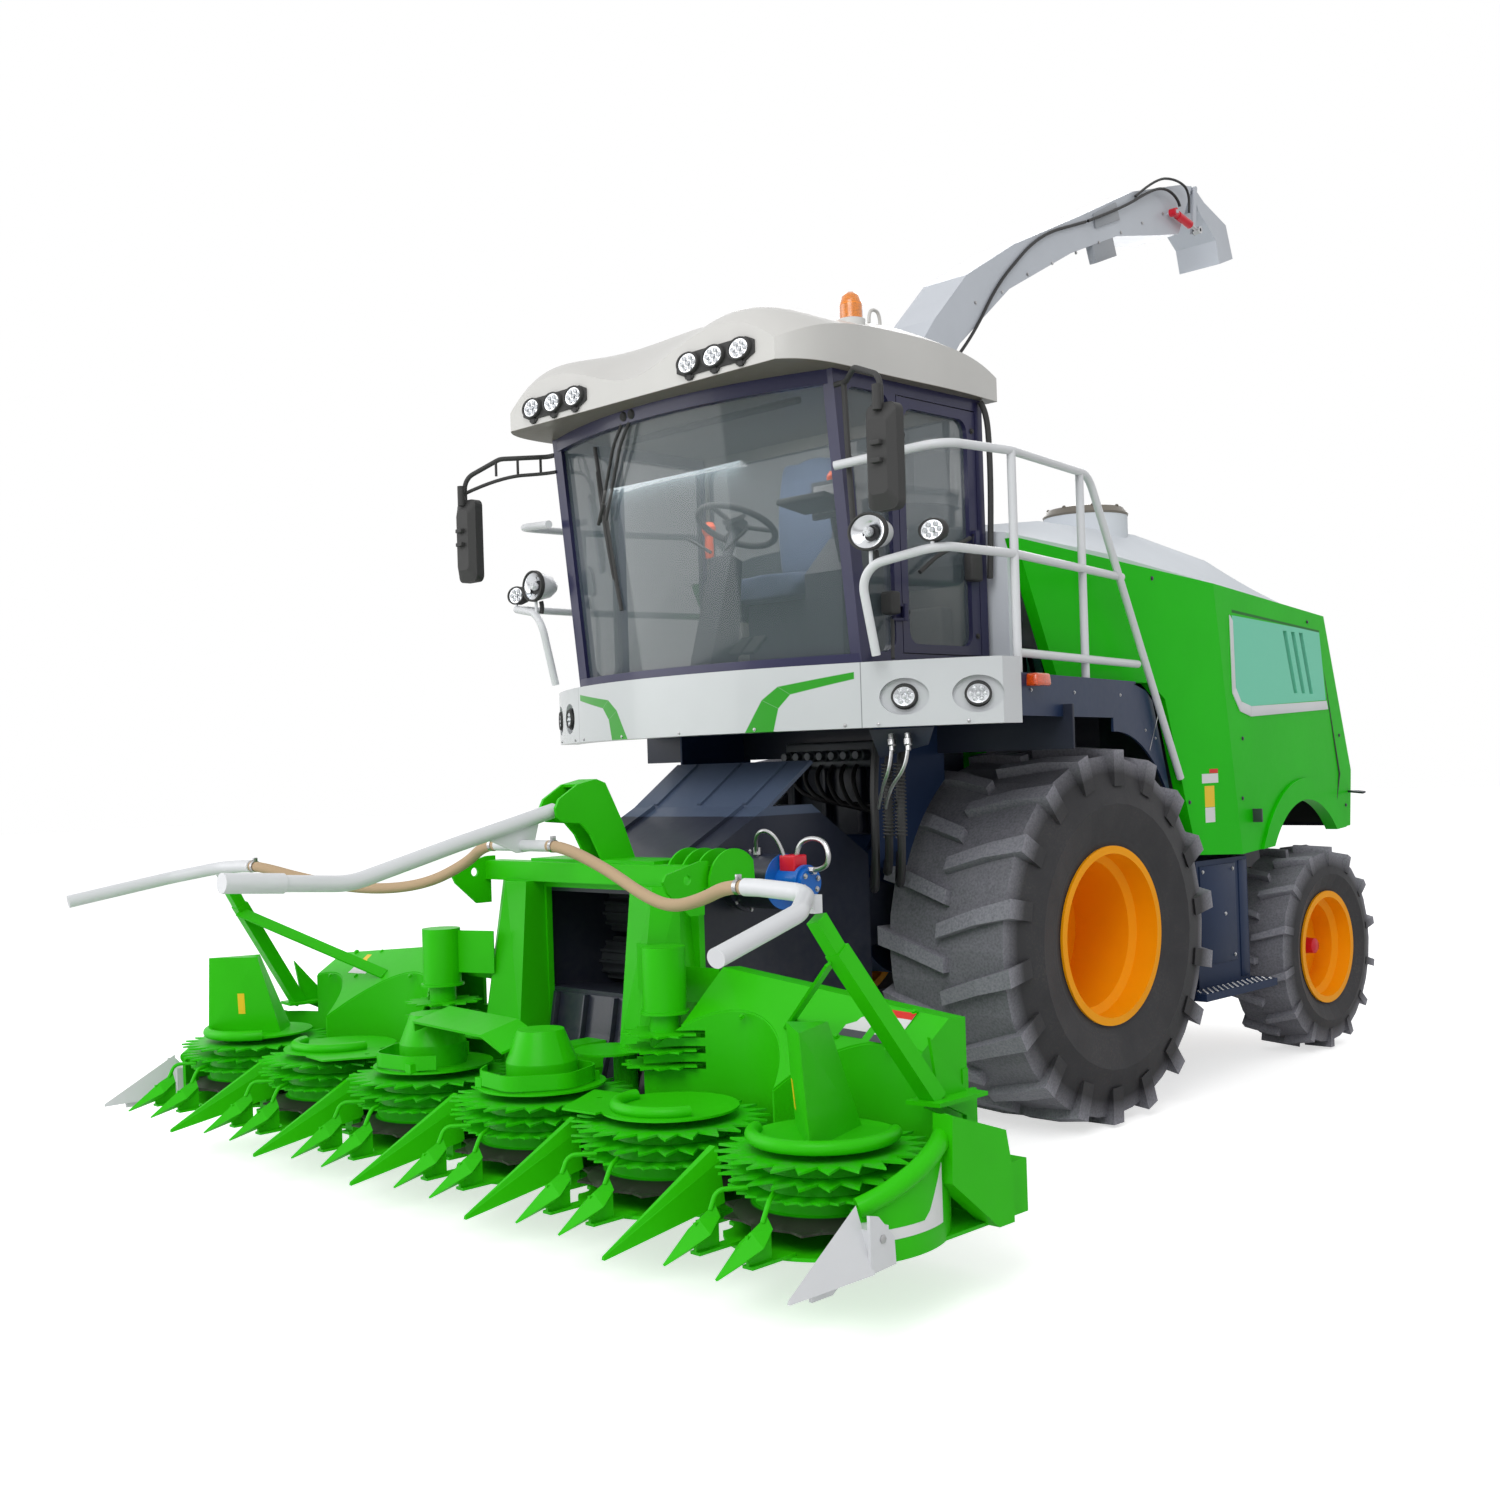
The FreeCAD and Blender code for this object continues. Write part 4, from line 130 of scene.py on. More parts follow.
class Shader:
    """A material being made: one Principled shader and what feeds it."""

    def __init__(self, name: str) -> None:
        """Start a material.

        Args:
            name: Its name.
        """
        self.material = bpy.data.materials.new(name)
        self.material.use_nodes = True
        self.tree = self.material.node_tree
        self.surface = next(node for node in self.tree.nodes if node.type == "BSDF_PRINCIPLED")
        self._position: Optional[bpy.types.Node] = None

    def add(self, kind: str, inputs: Mapping[Union[str, int], object], **settings: object) -> bpy.types.Node:
        """Add any node.

        Args:
            kind: The node's type name.
            inputs: The values or links of its sockets.
            settings: Its settings, set before its inputs.

        Returns:
            The node.
        """
        node = self.tree.nodes.new(kind)
        for key, value in settings.items():
            setattr(node, key, value)
        for key, value in inputs.items():
            self.feed(node, key, value)
        return node

    def feed(self, node: bpy.types.Node, key: Union[str, int], value: object) -> None:
        """Set or link one input of a node.

        Args:
            node: The node.
            key: The input's name or number.
            value: A value, a colour or a link.
        """
        if isinstance(value, Sock):
            value = value.socket
        if isinstance(value, bpy.types.NodeSocket):
            self.tree.links.new(value, node.inputs[key])
        elif isinstance(value, tuple) and len(value) == 3 and node.inputs[key].type == "RGBA":
            node.inputs[key].default_value = (*value, 1.0)
        else:
            node.inputs[key].default_value = value

    def place(self) -> bpy.types.NodeSocket:
        """The point on the piece, in metres."""
        self._position = self._position or self.add("ShaderNodeTexCoord", {})
        return self._position.outputs["Object"]

    def axis(self, name: str) -> Sock:
        """One coordinate of the point on the piece: X, Y or Z."""
        return Sock(self.tree, self.add("ShaderNodeSeparateXYZ", {0: self.place()}).outputs[name])

    def pattern(self, kind: str, output: Union[str, int], stretch: Point, **inputs: float) -> Sock:
        """One output of a texture over the piece, from its node type, its scale along each axis and its inputs."""
        where = self.add("ShaderNodeMapping", {"Vector": self.place(), "Scale": stretch})
        return Sock(self.tree, self.add(kind, {"Vector": where.outputs[0], **inputs}).outputs[output])

    def noise(self, scale: float, detail: float = 4.0, stretch: Point = (1.0, 1.0, 1.0)) -> Sock:
        """Noise between 0 and 1, of so many waves per metre and so many octaves."""
        return self.pattern("ShaderNodeTexNoise", 0, stretch, Scale=scale, Detail=detail, Roughness=0.55)

    def cells(self, scale: float) -> Sock:
        """Distance to the nearest cell centre."""
        return self.pattern("ShaderNodeTexVoronoi", "Distance", (1.0, 1.0, 1.0), Scale=scale)

    def blend(self, amount: Union[Sock, float], first: object, second: object) -> bpy.types.NodeSocket:
        """Mix two colours or links, by the share of the second."""
        inputs = {0: amount, 6: first, 7: second}
        return self.add("ShaderNodeMix", inputs, data_type="RGBA", clamp_factor=True).outputs[2]

    def edges(self, radius: float) -> Sock:
        """1 on outer edges and 0 on flat parts, from the surface's pointiness."""
        node = self.add("ShaderNodeNewGeometry", {})
        return Sock(self.tree, node.outputs["Pointiness"]).ramp(0.5 + radius, 0.5 + 3 * radius)

    def bump(self, height: Sock, strength: float, distance: float) -> bpy.types.NodeSocket:
        """Turn a height into a normal."""
        return self.add("ShaderNodeBump", {"Strength": strength, "Distance": distance, "Height": height}).outputs[0]

    def finish(self, **inputs: object) -> bpy.types.Material:
        """Set the shader's own sockets and return the material.

        Args:
            inputs: Socket values or links, by name with spaces as underscores.

        Returns:
            The material.
        """
        for key, value in inputs.items():
            self.feed(self.surface, key.replace("_", " "), value)
        return self.material


# ---------------------------------------------------------------- finishes


@dataclass(frozen=True)
class Patch:
    """A painted area of a finish: the part of space inside all of its sides.

    Each side is (x, y, z, offset), and its inside is where x * X + y * Y + z * Z is more than the offset.
    """

    colour: Colour
    sides: Tuple[Tuple[float, float, float, float], ...]
    both_sides: bool = True
    soft: float = 0.0015

    def mask(self, shader: Shader) -> Sock:
        """1 inside the area and 0 outside it.

        Args:
            shader: The material that it is painted on.

        Returns:
            The mask.
        """
        axes = [shader.axis(name) for name in "XYZ"]
        if self.both_sides:
            axes[0] = axes[0].sum("ABSOLUTE")
        found: Optional[Sock] = None
        for side in self.sides:
            total, *others = [axis * share for axis, share in zip(axes, side) if share]
            for part in others:
                total = total + part
            inside = total.ramp(side[3] - self.soft, side[3] + self.soft)
            found = inside if found is None else found * inside
        return found


def area(colour: Colour, corners: Pairs, across: str = "X") -> Patch:
    """A patch with straight sides, seen along one axis, on both sides of the machine.

    Args:
        colour: Its colour.
        corners: Its corners, across and up, anticlockwise.
        across: X or Y, the axis that runs across.

    Returns:
        The patch.
    """
    sides = []
    shift = AXLE_Y if across == "Y" else 0.0
    for (u0, v0), (u1, v1) in zip(corners, [*corners[1:], corners[0]]):
        length = math.hypot(u1 - u0, v1 - v0)
        du, dv = -(v1 - v0) / length, (u1 - u0) / length
        offset = du * (u0 + shift) + dv * v0
        sides.append((du, 0.0, dv, offset) if across == "X" else (0.0, du, dv, offset))
    return Patch(colour, tuple(sides))


def above(height: float, *display: int) -> Patch:
    """A patch of a display colour on all that is above a height."""
    return Patch(linear(*display), ((0, 0, 1, height),))


def below(height: float, *display: int) -> Patch:
    """A patch of a display colour on all that is below a height."""
    return Patch(linear(*display), ((0, 0, -1, -height),))


@dataclass(frozen=True)
class Finish:
    """A named finish. Each kind of finish says what feeds the Principled shader's sockets."""

    name: str
    colour: Colour

    def scaled(self, share: float, lift: float = 0.0) -> Colour:
        """The finish's colour times a share, plus a lift."""
        return tuple(min(part * share + lift, 1.0) for part in self.colour)

    def shade(self, shader: Shader) -> Inputs:
        """What feeds the shader's sockets, by their names with underscores, from the material being made."""
        raise NotImplementedError

    def make(self) -> bpy.types.Material:
        """Make the material."""
        shader = Shader(self.name)
        return shader.finish(**self.shade(shader))


@dataclass(frozen=True)
class Paint(Finish):
    """Sprayed and baked machine paint with a little dust, and areas of other colours."""

    roughness: float = 0.34
    coat: float = 0.12
    dust: float = 0.0
    dust_top: float = 1.6
    variation: float = 0.12
    dust_colour: Colour = (0.30, 0.26, 0.20)
    specular: float = 0.30
    wear: float = 0.0
    patches: Tuple[Patch, ...] = ()

    def shade(self, shader: Shader) -> Inputs:
        """What feeds the shader's sockets.

        Args:
            shader: The material being made.

        Returns:
            The inputs by name.
        """
        fine = shader.noise(26.0, 5.0)
        base = shader.blend(shader.noise(1.7, 3.0).ramp(0.3, 0.7), self.scaled(1 - self.variation),
                            self.scaled(1 + self.variation, 0.002))
        for patch in self.patches:
            base = shader.blend(patch.mask(shader), base, patch.colour)
        if self.wear:
            chips = (shader.edges(0.02) * fine.ramp(0.45, 0.7) * self.wear).clamped()
            base = shader.blend(chips, base, (0.20, 0.19, 0.18))
        dust = (shader.axis("Z").ramp(self.dust_top, 0.0) * fine.ramp(0.35, 0.75) * self.dust).clamped()
        return dict(
            Base_Color=shader.blend(dust, base, self.dust_colour),
            Roughness=(dust * 0.35 + fine * 0.10 + (self.roughness - 0.05)).clamped(),
            Specular_IOR_Level=self.specular,
            Coat_Weight=self.coat,
            Coat_Roughness=0.08,
            Normal=shader.bump(shader.noise(420.0, 1.0), 0.05, 0.0006),
        )


@dataclass(frozen=True)
class TyreRubber(Finish):
    """Moulded tyre rubber, rings on the wall and dust in the tread."""

    hub: Tuple[float, float]
    rim_radius: float
    radius: float

    def shade(self, shader: Shader) -> Inputs:
        """What feeds the shader's sockets.

        Args:
            shader: The material being made.

        Returns:
            The inputs by name.
        """
        y = shader.axis("Y") - self.hub[0]
        z = shader.axis("Z") - self.hub[1]
        radial = (y * y + z * z) ** 0.5
        cloud = shader.noise(4.0)
        fine = shader.noise(90.0)
        base = shader.blend(cloud.ramp(0.3, 0.75), self.scaled(0.66), self.colour)
        worn = (radial.ramp(self.radius - 0.13, self.radius - 0.01) * (fine.ramp(0.25, 0.65) * 0.5 + 0.5)).clamped()
        scuffed = shader.blend(worn * 0.95, base, linear(158, 158, 168))
        dust = (fine.ramp(0.45, 0.8) * cloud.ramp(0.35, 0.8) * 0.35).clamped()
        rings = radial.wave(210.0) * radial.ramp(self.rim_radius + 0.10, self.rim_radius + 0.02)
        return dict(
            Base_Color=shader.blend(dust, scuffed, linear(112, 104, 94)),
            Roughness=(fine * 0.2 + 0.62).clamped(),
            Normal=shader.bump(fine * 0.4 + rings * 0.6, 0.35, 0.002),
        )


@dataclass(frozen=True)
class BareSteel(Finish):
    """Bright or oiled steel with fine scratches."""

    colour: Colour = (0.55, 0.55, 0.56)
    roughness: float = 0.28

    def shade(self, shader: Shader) -> Inputs:
        """What feeds the shader's sockets.

        Args:
            shader: The material being made.

        Returns:
            The inputs by name.
        """
        scratch = shader.noise(60.0, 5.0, (1.0, 9.0, 9.0))
        return dict(
            Base_Color=shader.blend(shader.noise(5.0, 3.0).ramp(0.3, 0.7), self.scaled(0.7), self.colour),
            Metallic=1.0,
            Roughness=(scratch * 0.25 + (self.roughness - 0.1)).clamped(),
            Normal=shader.bump(scratch, 0.08, 0.0004),
        )


@dataclass(frozen=True)
class Plastic(Finish):
    """Moulded plastic with a fine grain."""

    colour: Colour = linear(34, 35, 38)
    roughness: float = 0.5

    def shade(self, shader: Shader) -> Inputs:
        """What feeds the shader's sockets.

        Args:
            shader: The material being made.

        Returns:
            The inputs by name.
        """
        cloud = shader.noise(6.0, 3.0)
        return dict(
            Base_Color=shader.blend(cloud.ramp(0.35, 0.75), self.colour, self.scaled(1.35, 0.004)),
            Roughness=(cloud * 0.15 + (self.roughness - 0.07)).clamped(),
            Normal=shader.bump(shader.cells(700.0), 0.15, 0.0006),
        )


@dataclass(frozen=True)
class Glazing(Finish):
    """Tinted safety glass with faint rain marks."""

    cover: float = 0.11

    def shade(self, shader: Shader) -> Inputs:
        """What feeds the shader's sockets.

        Args:
            shader: The material being made.

        Returns:
            The inputs by name.
        """
        streak = shader.noise(30.0, 2.0, (1.0, 1.0, 0.02))
        marks = (streak.ramp(0.52, 0.75) * shader.noise(1.6, 2.0).ramp(0.45, 0.7) * 0.10).clamped()
        return dict(
            Base_Color=shader.blend(marks * 6.0, self.colour, (0.55, 0.60, 0.60)),
            Roughness=(marks * 0.6 + 0.02).clamped(),
            Specular_IOR_Level=0.9,
            Alpha=(marks + self.cover).clamped(),
        )


@dataclass(frozen=True)
class Lens(Finish):
    """Clear or coloured lamp lens over its reflector."""

    rib: float = 160.0

    def shade(self, shader: Shader) -> Inputs:
        """What feeds the shader's sockets.

        Args:
            shader: The material being made.

        Returns:
            The inputs by name.
        """
        ribs = shader.cells(self.rib)
        return dict(
            Base_Color=shader.blend(ribs.ramp(0.2, 0.75), self.colour, self.scaled(0.55)),
            Roughness=0.12,
            Coat_Weight=1.0,
            Coat_Roughness=0.03,
            Normal=shader.bump(ribs, 0.35, 0.002),
        )


@dataclass(frozen=True)
class Cloth(Finish):
    """Woven seat cloth."""

    thread: float = 2600.0

    def shade(self, shader: Shader) -> Inputs:
        """What feeds the shader's sockets.

        Args:
            shader: The material being made.

        Returns:
            The inputs by name.
        """
        weft = (shader.axis("Y") + shader.axis("Z")).wave(self.thread)
        weave = shader.axis("X").wave(self.thread) * weft * 0.5 + 0.5
        fleck = shader.noise(900.0, 2.0)
        return dict(
            Base_Color=shader.blend((weave * 0.5 + fleck * 0.5).clamped(), self.colour, self.scaled(1.7)),
            Roughness=0.9,
            Sheen_Weight=0.3,
            Normal=shader.bump(weave, 0.3, 0.0006),
        )


@dataclass(frozen=True)
class HoseSleeve(Finish):
    """Ribbed or wrapped hose."""

    roughness: float = 0.6
    pitch: float = 900.0

    def shade(self, shader: Shader) -> Inputs:
        """What feeds the shader's sockets.

        Args:
            shader: The material being made.

        Returns:
            The inputs by name.
        """
        ribs = (shader.axis("X") * self.pitch + shader.axis("Z") * (self.pitch * 0.4)).sum("SINE") * 0.5 + 0.5
        return dict(
            Base_Color=shader.blend(shader.noise(9.0).ramp(0.3, 0.75), self.scaled(0.7), self.colour),
            Roughness=self.roughness,
            Normal=shader.bump(ribs, 0.25, 0.001),
        )


SWOOSH = linear(28, 150, 4)
BEAM_PATCHES = (
    area(SWOOSH, ((0.925, 2.170), (0.575, 2.125), (0.635, 2.088), (0.925, 2.140))),
    area(SWOOSH, ((0.575, 2.125), (0.492, 2.070), (0.575, 2.030), (0.635, 2.088))),
    area(SWOOSH, ((0.492, 2.070), (0.392, 1.920), (0.545, 1.920), (0.575, 2.030))),
    Patch(linear(96, 98, 102), ((1, 0, 0, 0.9505), (-1, 0, 0, -0.9535))),  # the joint of the beam's middle
)
BODY_PATCHES = (
    area(linear(124, 216, 184),
         ((1.45, 2.14), (1.52, 2.06), (1.66, 2.03), (2.86, 2.08), (2.80, 2.50), (1.455, 2.53)), "Y"),
    area(linear(20, 112, 30), ((1.455, 2.545), (2.80, 2.495), (2.80, 2.508), (1.455, 2.562)), "Y"),
)
# Painted light: the lid, which is all of the feeder housing above 1.56 m, is painted lighter than the rest to stand for
# the light on its top. The motor's blue is its own colour.
FEEDER_PATCHES = (above(1.56, 74, 86, 108), Patch(linear(14, 98, 186), ((1, 0, 0, 0.735),), False))  # lid, motor
CAB_PATCHES = (
    Patch(linear(148, 146, 138), ((0, 1, 0, -0.352), (-1, 0, 0, -0.885), (0, -1, 0, 0.326))),  # rear posts inside
    Patch(linear(70, 72, 74), ((0, 0, 1, 2.2495), (0, 0, -1, -2.2505), (-1, 0, 0, -0.90))),  # floor
)
FILM: Mapping[str, float] = {"variation": 0.02, "roughness": 0.45, "coat": 0.0}


class Tone(Enum):
    """The machine's named finishes."""

    LIME = Paint("lime_paint", linear(46, 190, 0), 0.42, 0.04, specular=0.15, variation=0.05)
    GREEN = Paint("body_green_paint", linear(24, 192, 0), 0.42, 0.0, specular=0.08, variation=0.04,
                  patches=BODY_PATCHES)
    WHITE = Paint("white_paint", linear(212, 214, 217), variation=0.03, dust=0.03)
    HOOD = Paint("hood_white_paint", linear(220, 225, 231), 0.62, 0.0, 0.05, specular=0.04, variation=0.03)
    BEAM = Paint("beam_white_paint", linear(198, 201, 204), coat=0.3, variation=0.03, patches=BEAM_PATCHES)
    ROOF = Paint("roof_white", linear(196, 195, 192), 0.4, variation=0.04, patches=(below(3.452, 120, 114, 104),))
    SPOUT = Paint("spout_white", linear(192, 197, 205), 0.38, variation=0.05)
    GREY = Paint("wear_plate_grey", linear(150, 154, 160), 0.4, variation=0.06)
    SLATE = Paint("slate_blue_paint", linear(30, 46, 76), 0.40, 0.0, 0.02, variation=0.10, specular=0.15)
    FEEDER = Paint("feeder_paint", linear(38, 42, 56), 0.36, dust=0.10, variation=0.14, patches=FEEDER_PATCHES)
    NAVY = Paint("cab_navy_paint", linear(38, 38, 72), 0.3, variation=0.1, patches=CAB_PATCHES)
    CHASSIS = Paint("chassis_paint", linear(36, 41, 56), 0.45, 0.05, 0.30, variation=0.15)
    ORANGE = Paint("wheel_orange_paint", linear(255, 164, 0), 0.45, 0.05, 0.04, 1.0, 0.05, specular=0.12)
    BLADE = Paint("rotor_paint", linear(44, 196, 2), 0.42, 0.0, 0.02, 0.4, 0.08, specular=0.15, wear=0.2,
                  patches=(below(0.36, 44, 50, 40),))
    RED = Paint("red_paint", linear(214, 30, 50), variation=0.08)
    LAMP_BODY = Paint("lamp_housings", linear(26, 27, 30), 0.5, 0.0, variation=0.1,
                      patches=(above(3.668, 214, 214, 212), above(3.739, 250, 140, 0)))
    GRIP = Paint("orange_grip", linear(236, 92, 30), 0.45, variation=0.05)
    PAPER = Paint("white_film", linear(222, 223, 224), **FILM)
    RED_PAPER = Paint("red_film", linear(214, 42, 30), **FILM)
    DARK_PAPER = Paint("dark_film", linear(70, 74, 80), **FILM)
    YELLOW_PAPER = Paint("yellow_film", linear(240, 198, 20), 0.42, 0.1, variation=0.03)
    SCREEN = Paint("display_glass", linear(24, 30, 40), 0.12, 1.0, variation=0.2)
    STEEL = BareSteel("bright_steel")
    DARK_STEEL = BareSteel("dark_steel", (0.20, 0.20, 0.21), 0.42)
    CHROME = BareSteel("reflector_chrome", (0.78, 0.80, 0.83), 0.16)
    MIRROR = BareSteel("mirror_silver", (0.72, 0.76, 0.80), 0.11)
    BLACK = Plastic("black_plastic")
    LINING = Plastic("cab_lining", linear(150, 147, 138), 0.6)
    CONSOLE = Plastic("cab_console_grey", linear(66, 68, 74), 0.55)
    FRONT_TYRE = TyreRubber("front_tyre_rubber", linear(48, 48, 52), (0.306, 0.912), 0.432, 0.912)
    REAR_TYRE = TyreRubber("rear_tyre_rubber", linear(48, 48, 52), (2.763, 0.605), 0.33, 0.605)
    GLASS = Glazing("tinted_glass", (0.10, 0.13, 0.125))
    LENS = Lens("clear_lens", (0.80, 0.82, 0.86))
    AMBER = Lens("amber_lens", linear(252, 142, 0), 220.0)
    INDICATOR = Lens("indicator_lens", linear(236, 84, 6), 180.0)
    CLOTH = Cloth("seat_cloth", linear(84, 98, 122))
    TAN_HOSE = HoseSleeve("tan_hose", linear(196, 176, 132))
    BLACK_HOSE = HoseSleeve("black_hose", linear(26, 26, 28), 0.45)

    def material(self) -> bpy.types.Material:
        """The finish's material, made once."""
        return bpy.data.materials.get(self.value.name) or self.value.make()


def by_name(groups: Mapping[object, str]) -> Mapping[str, object]:
    """Turn keys with lists of names into names with their key."""
    return {name: key for key, names in groups.items() for name in names.split()}


NODE_TONES: Mapping[str, Tone] = by_name({
    Tone.FRONT_TYRE: "tyre_front_left tyre_front_right",
    Tone.REAR_TYRE: "tyre_rear_left tyre_rear_right",
    Tone.ORANGE: "rim_front_left rim_front_right rim_rear_left rim_rear_right",
    Tone.CHASSIS: "knuckle_left knuckle_right front_axle rear_axle chassis_frame engine_block rear_panel lift_barrels"
                  " spout_barrel",
    Tone.SLATE: "chopper_housing fenders tanks_and_steps",
    Tone.GREEN: "side_panels",
    Tone.HOOD: "hood",
    Tone.NAVY: "cab_frame cab_door",
    Tone.GLASS: "cab_glass cab_door_glass",
    Tone.ROOF: "cab_roof",
    Tone.CONSOLE: "cab_console",
    Tone.CLOTH: "seat_cushion",
    Tone.BLACK: "steering_wheel mirrors",
    Tone.BEAM: "front_beam",
    Tone.LAMP_BODY: "lamps",
    Tone.WHITE: "handrails side_cones push_boom spout_base",
    Tone.LIME: "header_frame header_covers row_dividers rotor_covers feed_drum_left feed_drum_right",
    Tone.TAN_HOSE: "hose_left hose_right",
    Tone.FEEDER: "feeder_housing",
    Tone.DARK_STEEL: "feed_rolls",
    Tone.STEEL: "lift_rods spout_rod flap_rod",
    Tone.SPOUT: "spout_arc spout_flap",
    Tone.BLACK_HOSE: "spout_hose",
    Tone.RED: "flap_barrel",
    Tone.BLADE: "rotor_1 rotor_2 rotor_3 rotor_4 rotor_5 rotor_6",
})


def dress_nodes() -> None:
    """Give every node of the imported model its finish."""
    for name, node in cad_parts.items():
        tone = NODE_TONES[name]
        if not node.material_slots:
            node.data.materials.append(tone.material())
        for slot in node.material_slots:
            slot.material = tone.material()
        LOG.info("%s in %s", name, tone.value.name)


# ---------------------------------------------------------------- modelling


def at(x: float, y: float, z: float) -> Vector:
    """A point of the frame, from metres to the left, behind the front axle and above the ground."""
    return Vector((x, y + AXLE_Y, z))


def spot(place: Spot) -> Vector:
    """A place as a vector of the frame. A plain tuple is measured from the front axle."""
    return place if isinstance(place, Vector) else at(*place)


def facing(place: Spot, way: Vector, up: Vector = UP) -> Matrix:
    """The matrix that stands a form on a place, with its Z along a way.

    Args:
        place: Where the form's origin goes.
        way: Where its Z points.
        up: Where its Y points, as near as can be.

    Returns:
        The matrix.
    """
    z = way.normalized()
    x = up.cross(z)
    x = x.normalized() if x.length > 1e-6 else LEFT
    return Matrix.Translation(spot(place)) @ Matrix((x, z.cross(x), z)).transposed().to_4x4()


def drum(radius: float, foot: float, top: float) -> Pairs:
    """The profile of a closed drum."""
    return (0, foot), (radius, foot), (radius, top), (0, top)


def box(u0: float, v0: float, u1: float, v1: float) -> Pairs:
    """The corners of a rectangle."""
    return (u0, v0), (u1, v0), (u1, v1), (u0, v1)


def ring(count: int, radius: float, start: float = 0.0) -> Pairs:
    """Points spread evenly on a circle, from an angle in degrees on."""
    turns = [math.radians(360 / count * index + start) for index in range(count)]
    return [(radius * math.cos(turn), radius * math.sin(turn)) for turn in turns]


def arc_radius(half: float, bulge: float) -> float:
    """The radius of an arc, from half its chord and its height."""
    return (half**2 + bulge**2) / (2 * bulge)


def show(name: str, data: bpy.types.ID) -> bpy.types.Object:
    """Put some data into the scene.

    Args:
        name: The object's name.
        data: Its data.

    Returns:
        The object.
    """
    piece = bpy.data.objects.new(name, data)
    bpy.context.scene.collection.objects.link(piece)
    return piece


def pour(part: bmesh.types.BMesh, into: bmesh.types.BMesh) -> None:
    """Join a part to another mesh and free it.

    Args:
        part: The part.
        into: The other mesh.
    """
    held = bpy.data.meshes.new("part")
    part.to_mesh(held)
    part.free()
    into.from_mesh(held)
    bpy.data.meshes.remove(held)


def route(name: str, points: Sequence[Spot], order: int = 3) -> bpy.types.Object:
    """A smooth open curve.

    Args:
        name: The curve's name.
        points: Its control points.
        order: 3 for a smooth curve and 2 for straight runs.

    Returns:
        The curve's object.
    """
    data = bpy.data.curves.new(name, "CURVE")
    data.dimensions = "3D"
    data.resolution_u = 6
    spline = data.splines.new("NURBS")
    spline.points.add(len(points) - 1)
    for point, place in zip(spline.points, points):
        point.co = (*spot(place), 1.0)
    spline.order_u = order
    spline.use_endpoint_u = True
    return show(name, data)


def thicken(curve: bpy.types.Object, radius: float, sides: int) -> None:
    """Make a curve a closed round tube.

    Args:
        curve: The curve's object.
        radius: The tube's radius.
        sides: A quarter of its facets, less one.
    """
    curve.data.bevel_depth = radius
    curve.data.bevel_resolution = sides
    curve.data.use_fill_caps = True


